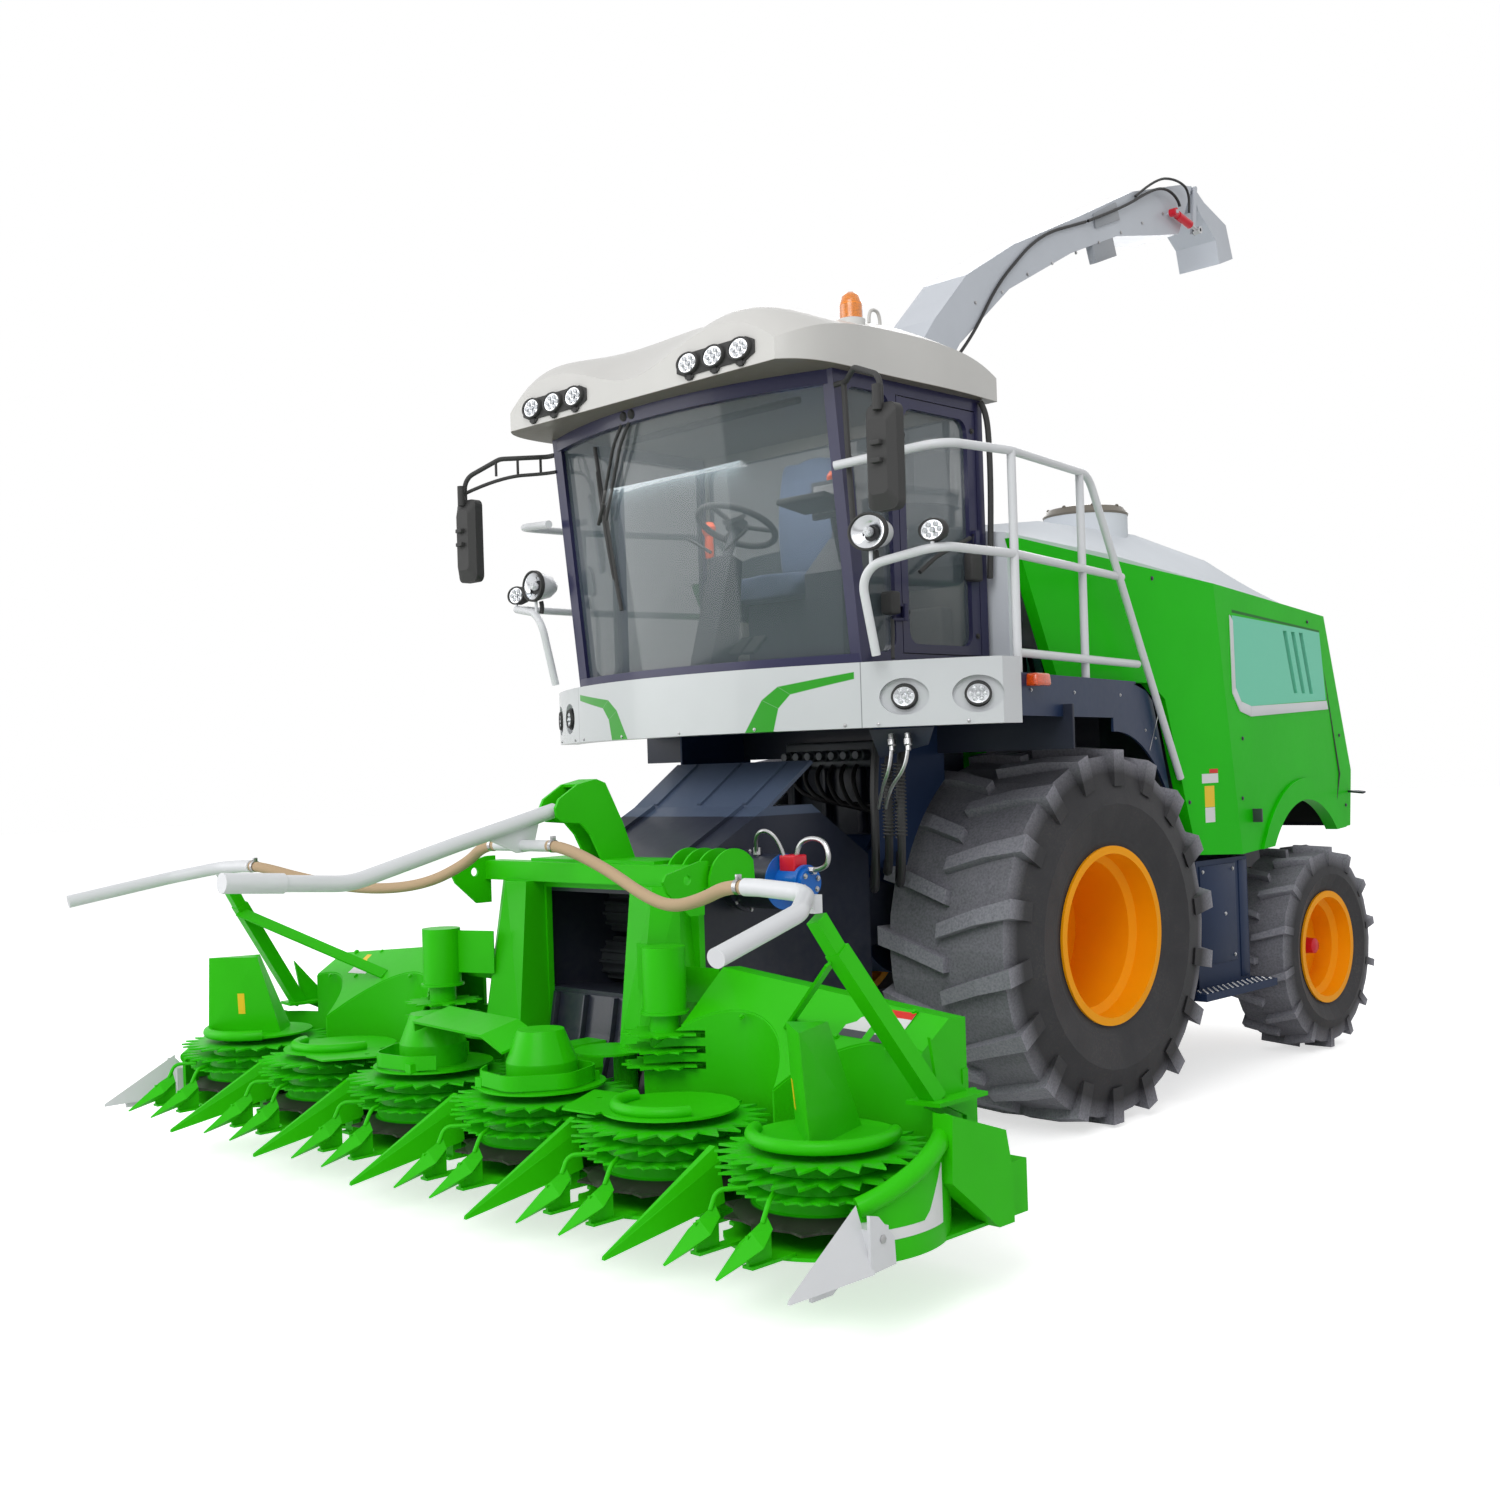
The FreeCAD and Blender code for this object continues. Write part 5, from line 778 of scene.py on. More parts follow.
@dataclass
class Form:
    """A piece being modelled, its finish and the moving body that carries it.

    Each method adds a part to the piece and returns the piece.
    """

    name: str
    tone: Tone
    body: str = "chassis"
    sharp: float = 0.6  # angle in radians past which an edge stays sharp
    mesh: bmesh.types.BMesh = field(default_factory=bmesh.new)

    def _take(self, part: bmesh.types.BMesh, place: Union[Matrix, Spot]) -> "Form":
        """Clean a finished part, move it to its place and join it to the piece.

        Args:
            part: The part.
            place: Where it stands: a matrix, or a place where it stands upright.

        Returns:
            The piece.
        """
        bmesh.ops.remove_doubles(part, verts=part.verts, dist=1e-6)
        bmesh.ops.recalc_face_normals(part, faces=part.faces)
        matrix = place if isinstance(place, Matrix) else Matrix.Translation(spot(place))
        bmesh.ops.transform(part, matrix=matrix, verts=part.verts)
        pour(part, self.mesh)
        return self

    def turned(self, profile: Pairs, place: Union[Matrix, Spot], steps: int,
               oval: Tuple[float, float] = (1.0, 1.0)) -> "Form":
        """Add a turned part.

        Args:
            profile: Pairs of radius and height along Z.
            place: Where it stands.
            steps: Facets round it.
            oval: Scale along its X and its Y.

        Returns:
            The piece.
        """
        part = bmesh.new()
        verts = [part.verts.new((radius, 0.0, along)) for radius, along in profile]
        edges = [part.edges.new(pair) for pair in zip(verts, verts[1:])]
        bmesh.ops.spin(part, geom=verts + edges, cent=(0, 0, 0), axis=(0, 0, 1), dvec=(0, 0, 0),
                       angle=2 * math.pi, steps=steps, use_merge=True)
        bmesh.ops.scale(part, vec=(*oval, 1.0), verts=part.verts)
        return self._take(part, place)

    def _soften(self, part: bmesh.types.BMesh, width: float, segments: int) -> None:
        """Round the edges of a part, if the width isn't 0."""
        if width:
            bmesh.ops.bevel(part, geom=list(part.edges), offset=width, offset_type="OFFSET", segments=segments,
                            affect="EDGES", profile=0.5, material=-1, clamp_overlap=True)

    def plate(self, outline: Sequence[Spot], depth: Point, bevel: float = 0.0,
              place: Matrix = Matrix.Identity(4)) -> "Form":
        """Add a plate: a flat outline given a thickness.

        Args:
            outline: Its corners in order.
            depth: The way and distance that it is thickened by.
            bevel: Width of its rounded edges.
            place: Where it stands.

        Returns:
            The piece.
        """
        part = bmesh.new()
        sheet = part.faces.new([part.verts.new(spot(corner)) for corner in outline])
        grown = bmesh.ops.extrude_face_region(part, geom=[sheet])
        moved = [item for item in grown["geom"] if isinstance(item, bmesh.types.BMVert)]
        bmesh.ops.translate(part, vec=depth, verts=moved)
        bmesh.ops.recalc_face_normals(part, faces=part.faces)
        self._soften(part, bevel, 2)
        return self._take(part, place)

    def side_plate(self, x: float, outline: Pairs, depth: float, bevel: float = 0.0) -> "Form":
        """Add a plate across X that reaches to the left, from the Y and Z of its corners."""
        return self.plate([(x, y, z) for y, z in outline], (depth, 0.0, 0.0), bevel)

    def front_plate(self, y: float, outline: Pairs, depth: float, bevel: float = 0.0) -> "Form":
        """Add a plate across Y that reaches to the rear, from the X and Z of its corners."""
        return self.plate([(x, y, z) for x, z in outline], (0, depth, 0), bevel)

    def block(self, size: Point, place: Union[Matrix, Spot], bevel: float = 0.0, taper: float = 1.0) -> "Form":
        """Add a rounded block that stands on its foot.

        Args:
            size: Width, depth and height.
            place: Where its foot's middle stands.
            bevel: Width of its rounded edges.
            taper: Size of its top against its foot.

        Returns:
            The piece.
        """
        part = bmesh.new()
        bmesh.ops.create_cube(part, size=1.0)
        top = [vert for vert in part.verts if vert.co.z > 0]
        bmesh.ops.scale(part, vec=(taper, taper, 1.0), verts=top)
        bmesh.ops.translate(part, vec=(0, 0, 0.5), verts=part.verts)
        bmesh.ops.scale(part, vec=size, verts=part.verts)
        self._soften(part, bevel, 3)
        return self._take(part, place)

    def tube(self, points: Sequence[Spot], radius: float, order: int = 3, sides: int = 3) -> "Form":
        """Add a round tube along a smooth route.

        Args:
            points: The route's control points.
            radius: The tube's radius.
            order: 3 for a smooth route and 2 for straight runs.
            sides: A quarter of the tube's facets, less one.

        Returns:
            The piece.
        """
        curve = route("tube", points, order)
        thicken(curve, radius, sides)
        held = bpy.data.meshes.new_from_object(curve.evaluated_get(bpy.context.evaluated_depsgraph_get()))
        part = bmesh.new()
        part.from_mesh(held)
        bpy.data.meshes.remove(held)
        bpy.data.objects.remove(curve)
        return self._take(part, Matrix.Identity(4))

    def label(self, middle: Spot, way: Vector, size: Tuple[float, float], up: Vector = UP) -> "Form":
        """Add a thin plate that lies on a face.

        Args:
            middle: Its middle.
            way: The face's outward way.
            size: Its width and height.
            up: The way of its height, as near as can be.

        Returns:
            The piece.
        """
        u, v = (part / 2 for part in size)
        return self.plate([Vector((*corner, 0)) for corner in box(-u, -v, u, v)], (0, 0, 0.0009), 0,
                          facing(middle, way, up))

    def bolts(self, places: Iterable[Spot], way: Vector, size: float) -> "Form":
        """Add hexagon heads with washers.

        Args:
            places: Their feet.
            way: Where they stand up to.
            size: Radius across a head's corners.

        Returns:
            The piece.
        """
        head = [(0, 0), (size, 0), (size, size * 0.75), (size * 0.8, size * 0.85), (0, size * 0.85)]
        for place in places:
            self.turned(drum(size * 1.35, -0.002, size * 0.2), facing(place, way), 10)
            self.turned(head, facing(place, way), 6)
        return self

    def mirrored(self) -> "Form":
        """Add the same parts on the machine's other side.

        Returns:
            The piece.
        """
        copy = self.mesh.copy()
        bmesh.ops.scale(copy, vec=(-1, 1, 1), verts=copy.verts)
        bmesh.ops.recalc_face_normals(copy, faces=copy.faces)
        pour(copy, self.mesh)
        return self

    def done(self) -> bpy.types.Object:
        """Finish the piece: its mesh, finish and body.

        Returns:
            The piece's object.
        """
        mesh = bpy.data.meshes.new(self.name)
        self.mesh.to_mesh(mesh)
        self.mesh.free()
        mesh.shade_smooth()
        mesh.set_sharp_from_angle(angle=self.sharp)
        mesh.materials.append(self.tone.material())
        piece = show(self.name, mesh)
        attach(piece, self.body)
        LOG.info("%s: %d faces on %s", self.name, len(mesh.polygons), self.body)
        return piece


# ---------------------------------------------------------------- cab


@dataclass
class WorkLamps:
    """Lenses, reflectors and guards of the round work lamps."""

    roof_x: Tuple[float, ...] = (0.393, 0.551, 0.709)
    roof_front: float = -1.948
    roof_height: float = 3.53
    beam_x: Tuple[float, ...] = (1.124, 1.395)
    beam_height: float = 2.056
    rail_lamp: Point = (1.395, -1.557, 2.7176)
    head_lamp: Point = (1.129, -1.648, 2.735)
    radius: float = 0.044
    beam_radius: float = 0.045
    cup_radius: float = 0.0105
    flat: float = 0.95
    beam_middle: float = -1.225
    beam_half: float = 1.48
    beam_bulge: float = 0.48

    def beam_face(self, x: float) -> Tuple[Vector, Vector]:
        """Point and outward way of the front beam's bowed face.

        Args:
            x: Metres to the left.

        Returns:
            The point and the way.
        """
        radius = arc_radius(self.beam_half, self.beam_bulge)
        angle = math.asin(x / radius)
        way = Vector((math.sin(angle), -math.cos(angle), 0.0))
        return at(0, self.beam_middle - self.beam_bulge + radius, self.beam_height) + way * radius, way

    def places(self) -> Iterable[Tuple[Vector, Vector, float, float]]:
        """Find every lamp's front face.

        Returns:
            Its middle, its way, its radius and how much wider than high it is.
        """
        for side in (-1, 1):
            for x in self.roof_x:
                yield at(side * x, self.roof_front, self.roof_height), FORWARD, self.radius, 1.36
            for x in self.beam_x:
                point, way = self.beam_face(side * x)
                yield point + way * 0.001, way, self.beam_radius, 1.1
            x, y, z = self.rail_lamp
            yield at(side * x, y, z), FORWARD, self.radius, 1.4

    def head_lamps(self) -> None:
        """Build the two large head lamps on the rails."""
        stand = facing(self.head_lamp, Vector((0.12, -1, 0)))
        wide = (1.12, 0.92)
        for name, tone, steps, oval, profile in (
            ("shells", Tone.WHITE, 36, wide,
             ((0, -0.125), (0.035, -0.122), (0.062, -0.09), (0.078, -0.03), (0.082, 0), (0.076, 0))),
            ("bowls", Tone.CHROME, 36, wide,
             ((0, -0.03), (0.02, -0.028), (0.045, -0.016), (0.066, 0), (0.076, 0.002))),
            ("rims", Tone.BLACK, 36, wide,
             ((0.074, 0.002), (0.078, 0.01), (0.086, 0.008), (0.087, -0.012), (0.08, -0.014))),
            ("lenses", Tone.LENS, 24, (1, 1), ((0, 0.012), (0.016, 0.01), (0.022, -0.002), (0.02, -0.024))),
        ):
            form = Form(f"head_lamp_{name}", tone).turned(profile, stand, steps, oval)
            if name == "rims":
                form.tube([(1.129, -1.6, 2.66), (1.129, -1.59, 2.63), (1.129, -1.6, 2.6)], 0.012)
            form.mirrored().done()

    def build(self) -> None:
        """Build the lamps' fronts."""
        bowls = Form("lamp_reflectors", Tone.CHROME)
        lenses = Form("lamp_lenses", Tone.LENS)
        rings = Form("lamp_rings", Tone.BLACK)
        for place, way, radius, wide in self.places():
            stand = facing(place, way)
            oval = (wide, self.flat)
            bowls.turned([(0, -0.003), (radius * 0.5, -0.001), (radius * 0.98, 0.002)], stand, 28, oval)
            for x, y in ((0, 0), *ring(6, radius * 0.6, 60)):
                cup = facing(place + stand.to_3x3() @ Vector((wide * x, self.flat * y, 0.0)), way)
                lenses.turned([(0, 0.0045), (0.005, 0.004), (self.cup_radius, 0)], cup, 12)
                bowls.turned([(self.cup_radius, -0.002), (self.cup_radius + 0.0012, 0.003)], cup, 12)
            rings.turned([(radius * 0.93, -0.004), (radius * 0.95, 0.006), (radius * 1.1, 0.007), (radius * 1.16, 0.0),
                          (radius * 1.12, -0.022), (radius * 0.9, -0.024)], stand, 36, oval)
        for side in (-1, 1):
            for x in self.roof_x:
                rings.block((0.026, 0.014, 0.03), (side * x, -1.936, self.roof_height - 0.073), 0.003)
                foot = ((-0.022, 3.464), (0.022, 3.464), (0.032, 3.476), (-0.032, 3.476))
                rings.front_plate(-1.934, [(side * x + along, z) for along, z in foot], -0.006, 0.001)
            tray = ((0.31, 3.5), (0.36, 3.478), (0.74, 3.478), (0.79, 3.5), (0.79, 3.555), (0.74, 3.577),
                    (0.36, 3.577), (0.31, 3.555))
            rings.front_plate(-1.9305, [(side * x, z) for x, z in tray], -0.006, 0.002)
        for form in (bowls, lenses, rings):
            form.done()
        self.head_lamps()


@dataclass
class RoofTrim:
    """What stands on the roof: beacon lenses and brackets, an eye bolt and the lead behind the pillar."""

    beacon: Point = (0.8, -1.33, 3.665)
    dome_radius: float = 0.0515
    rib_count: int = 8
    rib_pitch: float = 0.0075

    def build(self) -> None:
        """Build the roof's trim."""
        x, y, z = self.beacon
        profile = [(self.dome_radius, 0.074)]
        for index in range(self.rib_count):
            level = 0.078 + index * self.rib_pitch
            profile += [(self.dome_radius, level), (self.dome_radius - 0.001, level + 0.004)]
        profile += [(0.049, 0.142), (0.041, 0.173), (0.021, 0.1915), (0, 0.195)]
        Form("beacon_domes", Tone.AMBER).turned(profile, self.beacon, 40).mirrored().done()
        brackets = Form("beacon_brackets", Tone.BLACK).turned(drum(0.066, -0.004, 0.005), self.beacon, 32)
        for turn in (0.4, 2.5, 4.6):
            foot = (x + 0.052 * math.cos(turn), y + 0.052 * math.sin(turn), z - 0.016)
            brackets.turned(drum(0.006, 0, 0.014), foot, 10)
        brackets.tube([(0.84, -1.36, 3.655), (0.905, -1.4, 3.63), (0.955, -1.43, 3.56), (0.952, -1.46, 3.49)], 0.011)
        brackets.mirrored().tube([(0.965, -0.63, 3.44), (0.985, -0.61, 3.4), (0.99, -0.6, 3.2), (0.985, -0.6, 2.9),
                                  (0.975, -0.61, 2.62)], 0.014).done()
        Form("roof_eye", Tone.ROOF).tube([(0.62, -1, 3.82), (0.62, -1, 3.87), (0.62, -0.96, 3.89),
                                          (0.62, -0.92, 3.87), (0.62, -0.92, 3.8)], 0.008).mirrored().done()


@dataclass
class Wipers:
    """The two windscreen wipers, parked upright from the top of the screen."""

    half: float = 0.886
    bulge: float = 0.154
    foot: Tuple[float, float] = (-1.487, 2.25)
    lean: float = 0.132 / 1.24

    def screen(self, x: float, z: float, proud: float) -> Vector:
        """A point in front of the windscreen.

        Args:
            x: Metres to the left.
            z: Height.
            proud: Distance in front of the glass.

        Returns:
            The point.
        """
        radius = arc_radius(self.half, self.bulge)
        edge = self.foot[0] - self.lean * (z - self.foot[1])
        return at(x, edge - self.bulge + radius - math.sqrt(radius**2 - x**2) - proud, z)

    def build(self) -> None:
        """Build the arms and blades."""
        arms = Form("wiper_arms", Tone.BLACK)
        for x in (-0.215, -0.155):
            arms.tube([self.screen(x, 3.43, 0.026), self.screen(x - 0.1, 3.3, 0.045),
                       self.screen(x - 0.31, 2.98, 0.032)], 0.008, 2)
            arms.turned([(0, -0.02), (0.024, -0.02), (0.024, 0.02), (0.015, 0.028), (0, 0.028)],
                        facing(self.screen(x, 3.425, 0.02), FORWARD), 16)
        arms.tube([self.screen(-0.465, 3.06, 0.036), self.screen(-0.535, 2.97, 0.036)], 0.009, 2).done()
        blades = Form("wiper_blades", Tone.BLACK)
        for radius, points in (
            (0.01, ((-0.525, 3.34, 0.011), (-0.5, 2.97, 0.012), (-0.445, 2.55, 0.011))),
            (0.006, ((-0.515, 3.22, 0.022), (-0.497, 2.98, 0.034), (-0.47, 2.7, 0.022))),
        ):
            blades.tube([self.screen(*point) for point in points], radius)
        blades.done()


@dataclass
class DriverPlace:
    """Seat, levers, displays, pedals and the lining that shows through the glass."""

    floor: float = 2.25
    seat_middle: float = -0.91

    def cushion(self) -> None:
        """Build the padded seat and its back as one upholstered form."""
        seat = bmesh.new()
        for size, place, turn in (
            ((0.49, 0.43, 0.125), at(0, self.seat_middle, self.floor + 0.398), 0),
            ((0.47, 0.085, 0.58), at(0, -0.722, self.floor + 0.775), 0.055),
        ):
            pad = bmesh.new()
            bmesh.ops.create_cube(pad, size=1.0)
            bmesh.ops.subdivide_edges(pad, edges=pad.edges, cuts=7, use_grid_fill=True)
            for vert in pad.verts:
                x, y, z = (2 * part for part in vert.co)
                crown = (1 - 0.16 * y * y * z * z, 1 - 0.12 * x * x * z * z, 1 - 0.1 * x * x * y * y)
                groove = 1 - 0.07 * math.exp(-((abs(x) - 0.55) / 0.09) ** 2)
                vert.co = Vector((vert.co.x * crown[0], vert.co.y * crown[1] * groove, vert.co.z * crown[2] * groove))
            bmesh.ops.scale(pad, vec=size, verts=pad.verts)
            bmesh.ops.rotate(pad, cent=(0, 0, 0), matrix=Matrix.Rotation(-turn, 3, "X"), verts=pad.verts)
            bmesh.ops.translate(pad, vec=place, verts=pad.verts)
            pour(pad, seat)
        mesh = bpy.data.meshes.new("seat_upholstery")
        seat.to_mesh(mesh)
        seat.free()
        mesh.shade_smooth()
        mesh.materials.append(Tone.CLOTH.material())
        piece = show("seat_upholstery", mesh)
        rounder = piece.modifiers.new("rounder", "SUBSURF")
        rounder.levels = rounder.render_levels = 1
        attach(piece, "chassis")
        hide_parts("seat_cushion")

    def controls(self) -> None:
        """Build the levers, displays, pedals and column."""
        grips = Form("orange_grips", Tone.GRIP)
        for place in ((-0.33, -1.16, 2.82), (0.44, -1.075, 2.97)):
            grips.turned([(0, 0), (0.02, 0), (0.023, 0.05), (0.021, 0.11), (0.034, 0.13), (0.036, 0.155),
                          (0.022, 0.178), (0, 0.183)], place, 18)
        grips.done()
        dark = Form("cab_controls", Tone.BLACK)
        dark.tube([(-0.33, -1.16, 2.84), (-0.33, -1.14, 2.7), (-0.33, -1.02, 2.6)], 0.012)
        dark.block((0.16, 0.46, 0.2), (-0.36, -0.92, 2.52), 0.03, 0.9)
        dark.block((0.3, 0.03, 0.2), facing((0.53, -1.216, 2.95), FORWARD + UP * 0.15), 0.01)
        for x in (-0.13, 0.13, 0.22):
            dark.block((0.075, 0.02, 0.12), facing((x, -1.46, 2.3), FORWARD * -1 + UP * 0.9), 0.006)
        dark.turned([(0, 0), (0.06, 0), (0.055, 0.02), (0.03, 0.03), (0, 0.032)],
                    facing((0, -1.303, 2.957), Vector((0, -0.4226, 0.9063))), 24)
        for side in (-1, 1):
            dark.tube([(0.05 * side, -1.42, 2.8), (0.16 * side, -1.42, 2.86), (0.2 * side, -1.42, 2.88)], 0.008)
        dark.done()
        Form("cab_display", Tone.SCREEN).front_plate(-1.218, box(0.44, 2.93, 0.62, 3.06), -0.002, 0.0005).done()

    def lining(self) -> None:
        """Build the rear lining and the sun blind."""
        wall = Form("cab_rear_lining", Tone.LINING).front_plate(-0.652, box(-0.86, 2.26, 0.86, 2.595), -0.012, 0.004)
        wall.block((0.36, 0.1, 0.3), (-0.55, -0.72, 2.26), 0.02, 0.94)
        wall.block((0.3, 0.1, 0.24), (0.66, -0.72, 2.26), 0.02, 0.94).done()
        Form("sun_blind", Tone.BLACK).turned(drum(0.017, -0.6, 0.6), facing((0, -1.47, 3.4), LEFT), 16).done()

    def build(self) -> None:
        """Build the driver's place."""
        self.cushion()
        self.controls()
        self.lining()


@dataclass
class CabTrim:
    """Latch, gas strut, seals and grab handles on the cab's sides, and the mirrors' glass."""

    def build(self) -> None:
        """Build the trim of the cab's sides."""
        door = Form("door_trim", Tone.BLACK, "cab_door").block((0.05, 0.085, 0.13), (0.962, -0.715, 2.6), 0.012)
        door.tube([(0.955, -1.1, 2.62), (0.962, -0.98, 2.7), (0.958, -0.73, 2.8)], 0.01, 2)
        door.bolts([(0.951, -1.185, 2.44), (0.951, -1.185, 3.22), (0.951, -0.685, 2.35), (0.951, -0.685, 3.3)], LEFT,
                   0.01).done()
        body = Form("cab_side_trim", Tone.BLACK).block((0.07, 0.06, 0.1), (0.975, -1.33, 2.42), 0.012)
        body.tube([(0.955, -1.3, 2.4), (0.985, -1.33, 2.33), (1, -1.36, 2.27), (1.02, -1.38, 2.225)], 0.008)
        body.tube([(1, -1.62, 3.378), (1, -1.6, 2.9), (1.015, -1.6, 2.75)], 0.0125).done()
        glass = Form("mirror_glass", Tone.MIRROR)
        glass.front_plate(-1.811, box(1.33, 2.785, 1.462, 3.175), 0.002, 0.0008).mirrored().done()
        clamp = Form("mirror_clamps", Tone.BLACK)
        for z in (2.95, 3.02):
            clamp.block((0.05, 0.03, 0.02), (1.4, -1.893, z), 0.004)
        clamp.turned(drum(0.02, -0.05, 0.05), (1.4, -1.88, 3.21), 16).mirrored().done()
        bars = Form("mirror_bars", Tone.BLACK).tube([(-0.945, -1.62, 3.295), (-1.01, -1.62, 3.295),
                                                     (-1.2, -1.78, 3.29), (-1.398, -1.858, 3.225)], 0.009)
        for x, y in ((-1.04, -1.645), (-1.13, -1.721), (-1.22, -1.79)):
            bars.tube([(x, y, 3.295), (x, y, 3.335), (x, y, 3.375)], 0.007)
        bars.done()


@dataclass
class BeamTrim:
    """The indicators, quick couplings and bolts about the front beam."""

    def build(self) -> None:
        """Build the beam's trim."""
        Form("coupling_plate", Tone.CHASSIS).plate([(0.86, -1.37, 1.925), (1.22, -1.37, 1.925), (1.17, -1.35, 1.85),
                                                    (0.9, -1.35, 1.8)], (0, 0.008, 0), 0.002).done()
        steel = Form("quick_couplings", Tone.STEEL)
        for x, foot in ((1, 0.93), (1.09, 0.97)):
            steel.turned([(0, 0), (0.013, 0), (0.013, 0.02), (0.018, 0.024), (0.018, 0.05), (0.012, 0.055),
                          (0.012, 0.075), (0, 0.075)], facing((x, -1.385, 1.9), Vector((0.2, -0.2, -1))), 14)
            steel.tube([(x + 0.01, -1.4, 1.83), (x + 0.01, -1.41, 1.76), (foot, -1.38, 1.66),
                        (foot - 0.06, -1.33, 1.58)], 0.008)
        steel.done()
        indicator = Form("side_indicators", Tone.INDICATOR)
        indicator.block((0.075, 0.115, 0.055), (1.485, -0.985, 2.085), 0.012, 0.9).mirrored().done()
        bolts = Form("beam_bolts", Tone.STEEL)
        for x in (-1.36, -1.02, -0.88, -0.45, 0, 0.45, 0.88, 1.02, 1.36):
            point, way = WorkLamps().beam_face(x)
            bolts.bolts([Vector((point.x, point.y, 1.943)) + way * 0.0005], way, 0.006)
        bolts.done()


# ---------------------------------------------------------------- body and running gear


@dataclass
class BodyTrim:
    """The white window outline, blank notices, bolts and small fittings of the body's sides."""

    taper: float = 0.11
    half_width: float = 1.1
    bend_top: Tuple[float, float] = (1.22, 2.69)
    bend_normal: Tuple[float, float] = (0.9881, 0.1541)
    lid: Tuple[float, float] = (0.45, 1.0)
    skirt_front: Tuple[float, float] = (1.48, -1.0946)
    skirt_run: Tuple[float, float] = (-0.31, 1.3946)
    tank_side: float = 1.06
    grip_pitch: Tuple[float, float] = (0.022, 0.053)

    def side(self, y: float, z: float, proud: float = 0.0) -> Vector:
        """A point on the left body side, or some way outside its skin."""
        behind = (z - self.bend_top[1]) * self.bend_normal[1] + (y - self.bend_top[0]) * self.bend_normal[0]
        return at(self.half_width - self.taper * max(behind, 0.0) + proud, y, z)

    def outline(self) -> None:
        """Build the white moulding round the rear quarter's window."""
        trim = Form("quarter_moulding", Tone.WHITE)
        inner = ((1.455, 2.5), (1.45, 2.13), (1.52, 2.055), (1.66, 2.03), (2.86, 2.075))
        outer = ((1.415, 2.53), (1.405, 2.1), (1.5, 2), (1.65, 1.972), (2.88, 2.022))
        for corners in zip(inner, inner[1:], outer[1:], outer):
            trim.plate([self.side(*corner) for corner in corners], (0.006, 0, 0), 0.001)
        trim.mirrored().done()

    def notices(self) -> None:
        """Build the blank notices: a white one with a red head, a yellow one and a white one."""
        for name, tone, boxes in (
            ("notice_white", Tone.PAPER, ((1.035, 1.615, 1.205, 1.665), (1.06, 1.405, 1.16, 1.485))),
            ("notice_red", Tone.RED_PAPER, ((1.115, 1.667, 1.205, 1.69),)),
            ("notice_yellow", Tone.YELLOW_PAPER, ((1.06, 1.487, 1.16, 1.6),)),
        ):
            form = Form(name, tone)
            for corners in boxes:
                form.plate([self.side(*corner) for corner in box(*corners)], (0.001, 0, 0))
            form.done()

    def shade_sheets_and_guards(self) -> None:
        """Build the dark sheets behind the rear slats and the louvres, which are painted shade for the dark space
        behind them, and the rear corner guards.
        """
        profile = ((2.8, 2.45), (3.03, 1.62), (2.93, 1.32), (2.92, 1.32), (3.02, 1.62), (2.79, 2.45))
        # Painted shade: a black sheet across the machine behind the rear slats.
        Form("rear_shade_sheet", Tone.BLACK).side_plate(-0.93, profile, 1.86).done()
        gills = ((2.15, 2.08), (2.85, 2.08), (2.8, 2.52), (2.15, 2.52))
        # Painted shade: a black sheet behind the louvres on each side.
        Form("louvre_shade_sheet", Tone.BLACK).side_plate(0.93, gills, -0.006).mirrored().done()
        Form("rear_corner_guards", Tone.CHASSIS).plate([(0.86, 3.2, 1.5), (0.98, 3.17, 1.5), (1.04, 3.14, 1.495),
                                                        (1.04, 3.1, 1.49)], (0, 0, 0.012), 0.002).mirrored().done()

    def build(self) -> None:
        """Build the trim of the body's sides."""
        self.outline()
        self.notices()
        bolts = Form("body_bolts", Tone.DARK_STEEL)
        bolts.bolts([self.side(y, z) for y, z in ((1.52, 1.85), (1.48, 1.52), (3.06, 1.86), (3.12, 1.42), (0.9, 1.52),
                                                   (-0.2, 2.7), (0.6, 2.68), (2.6, 2.55))], LEFT, 0.009)
        bolts.block((0.012, 0.075, 0.06), facing(self.side(1.62, 1.42, -0.004), LEFT), 0.002).mirrored().done()
        self.shade_sheets_and_guards()
        x, y = self.lid
        dome = Form("hood_dome_lid", Tone.ROOF)
        dome.turned([(0.232, 3.105), (0.236, 3.116), (0.21, 3.15), (0.13, 3.168), (0, 3.172)], (x, y, 0), 40)
        dome.bolts([(x + u, y + v, 3.152) for u, v in ring(8, 0.205)], UP, 0.008).done()
        self.fender()
        self.tank()

    def fender(self) -> None:
        """Build the fenders' seam strips and bolts."""
        turn = Vector((*self.skirt_run, 0.0)).normalized()
        out = Vector((turn.y, -turn.x, 0.0))

        def skirt(*places: Tuple[float, float]) -> List[Vector]:
            """Points on the fender's skirt, from how far behind its front edge and how high they are."""
            return [at(*self.skirt_front, z) + turn * along + out * 0.0005 for along, z in places]

        seam = skirt((1.6, 1.8), (1.605, 1.796), (1.76, 1.985), (1.755, 1.99))
        Form("fender_seams", Tone.STEEL).plate(seam, out * 0.0015).mirrored().done()
        heads = skirt((0.1, 2.07), (0.6, 2.07), (1.2, 2.07), (1.55, 1.9), (1.7, 1.86))
        Form("fender_bolts", Tone.STEEL).bolts(heads, out, 0.006).mirrored().done()

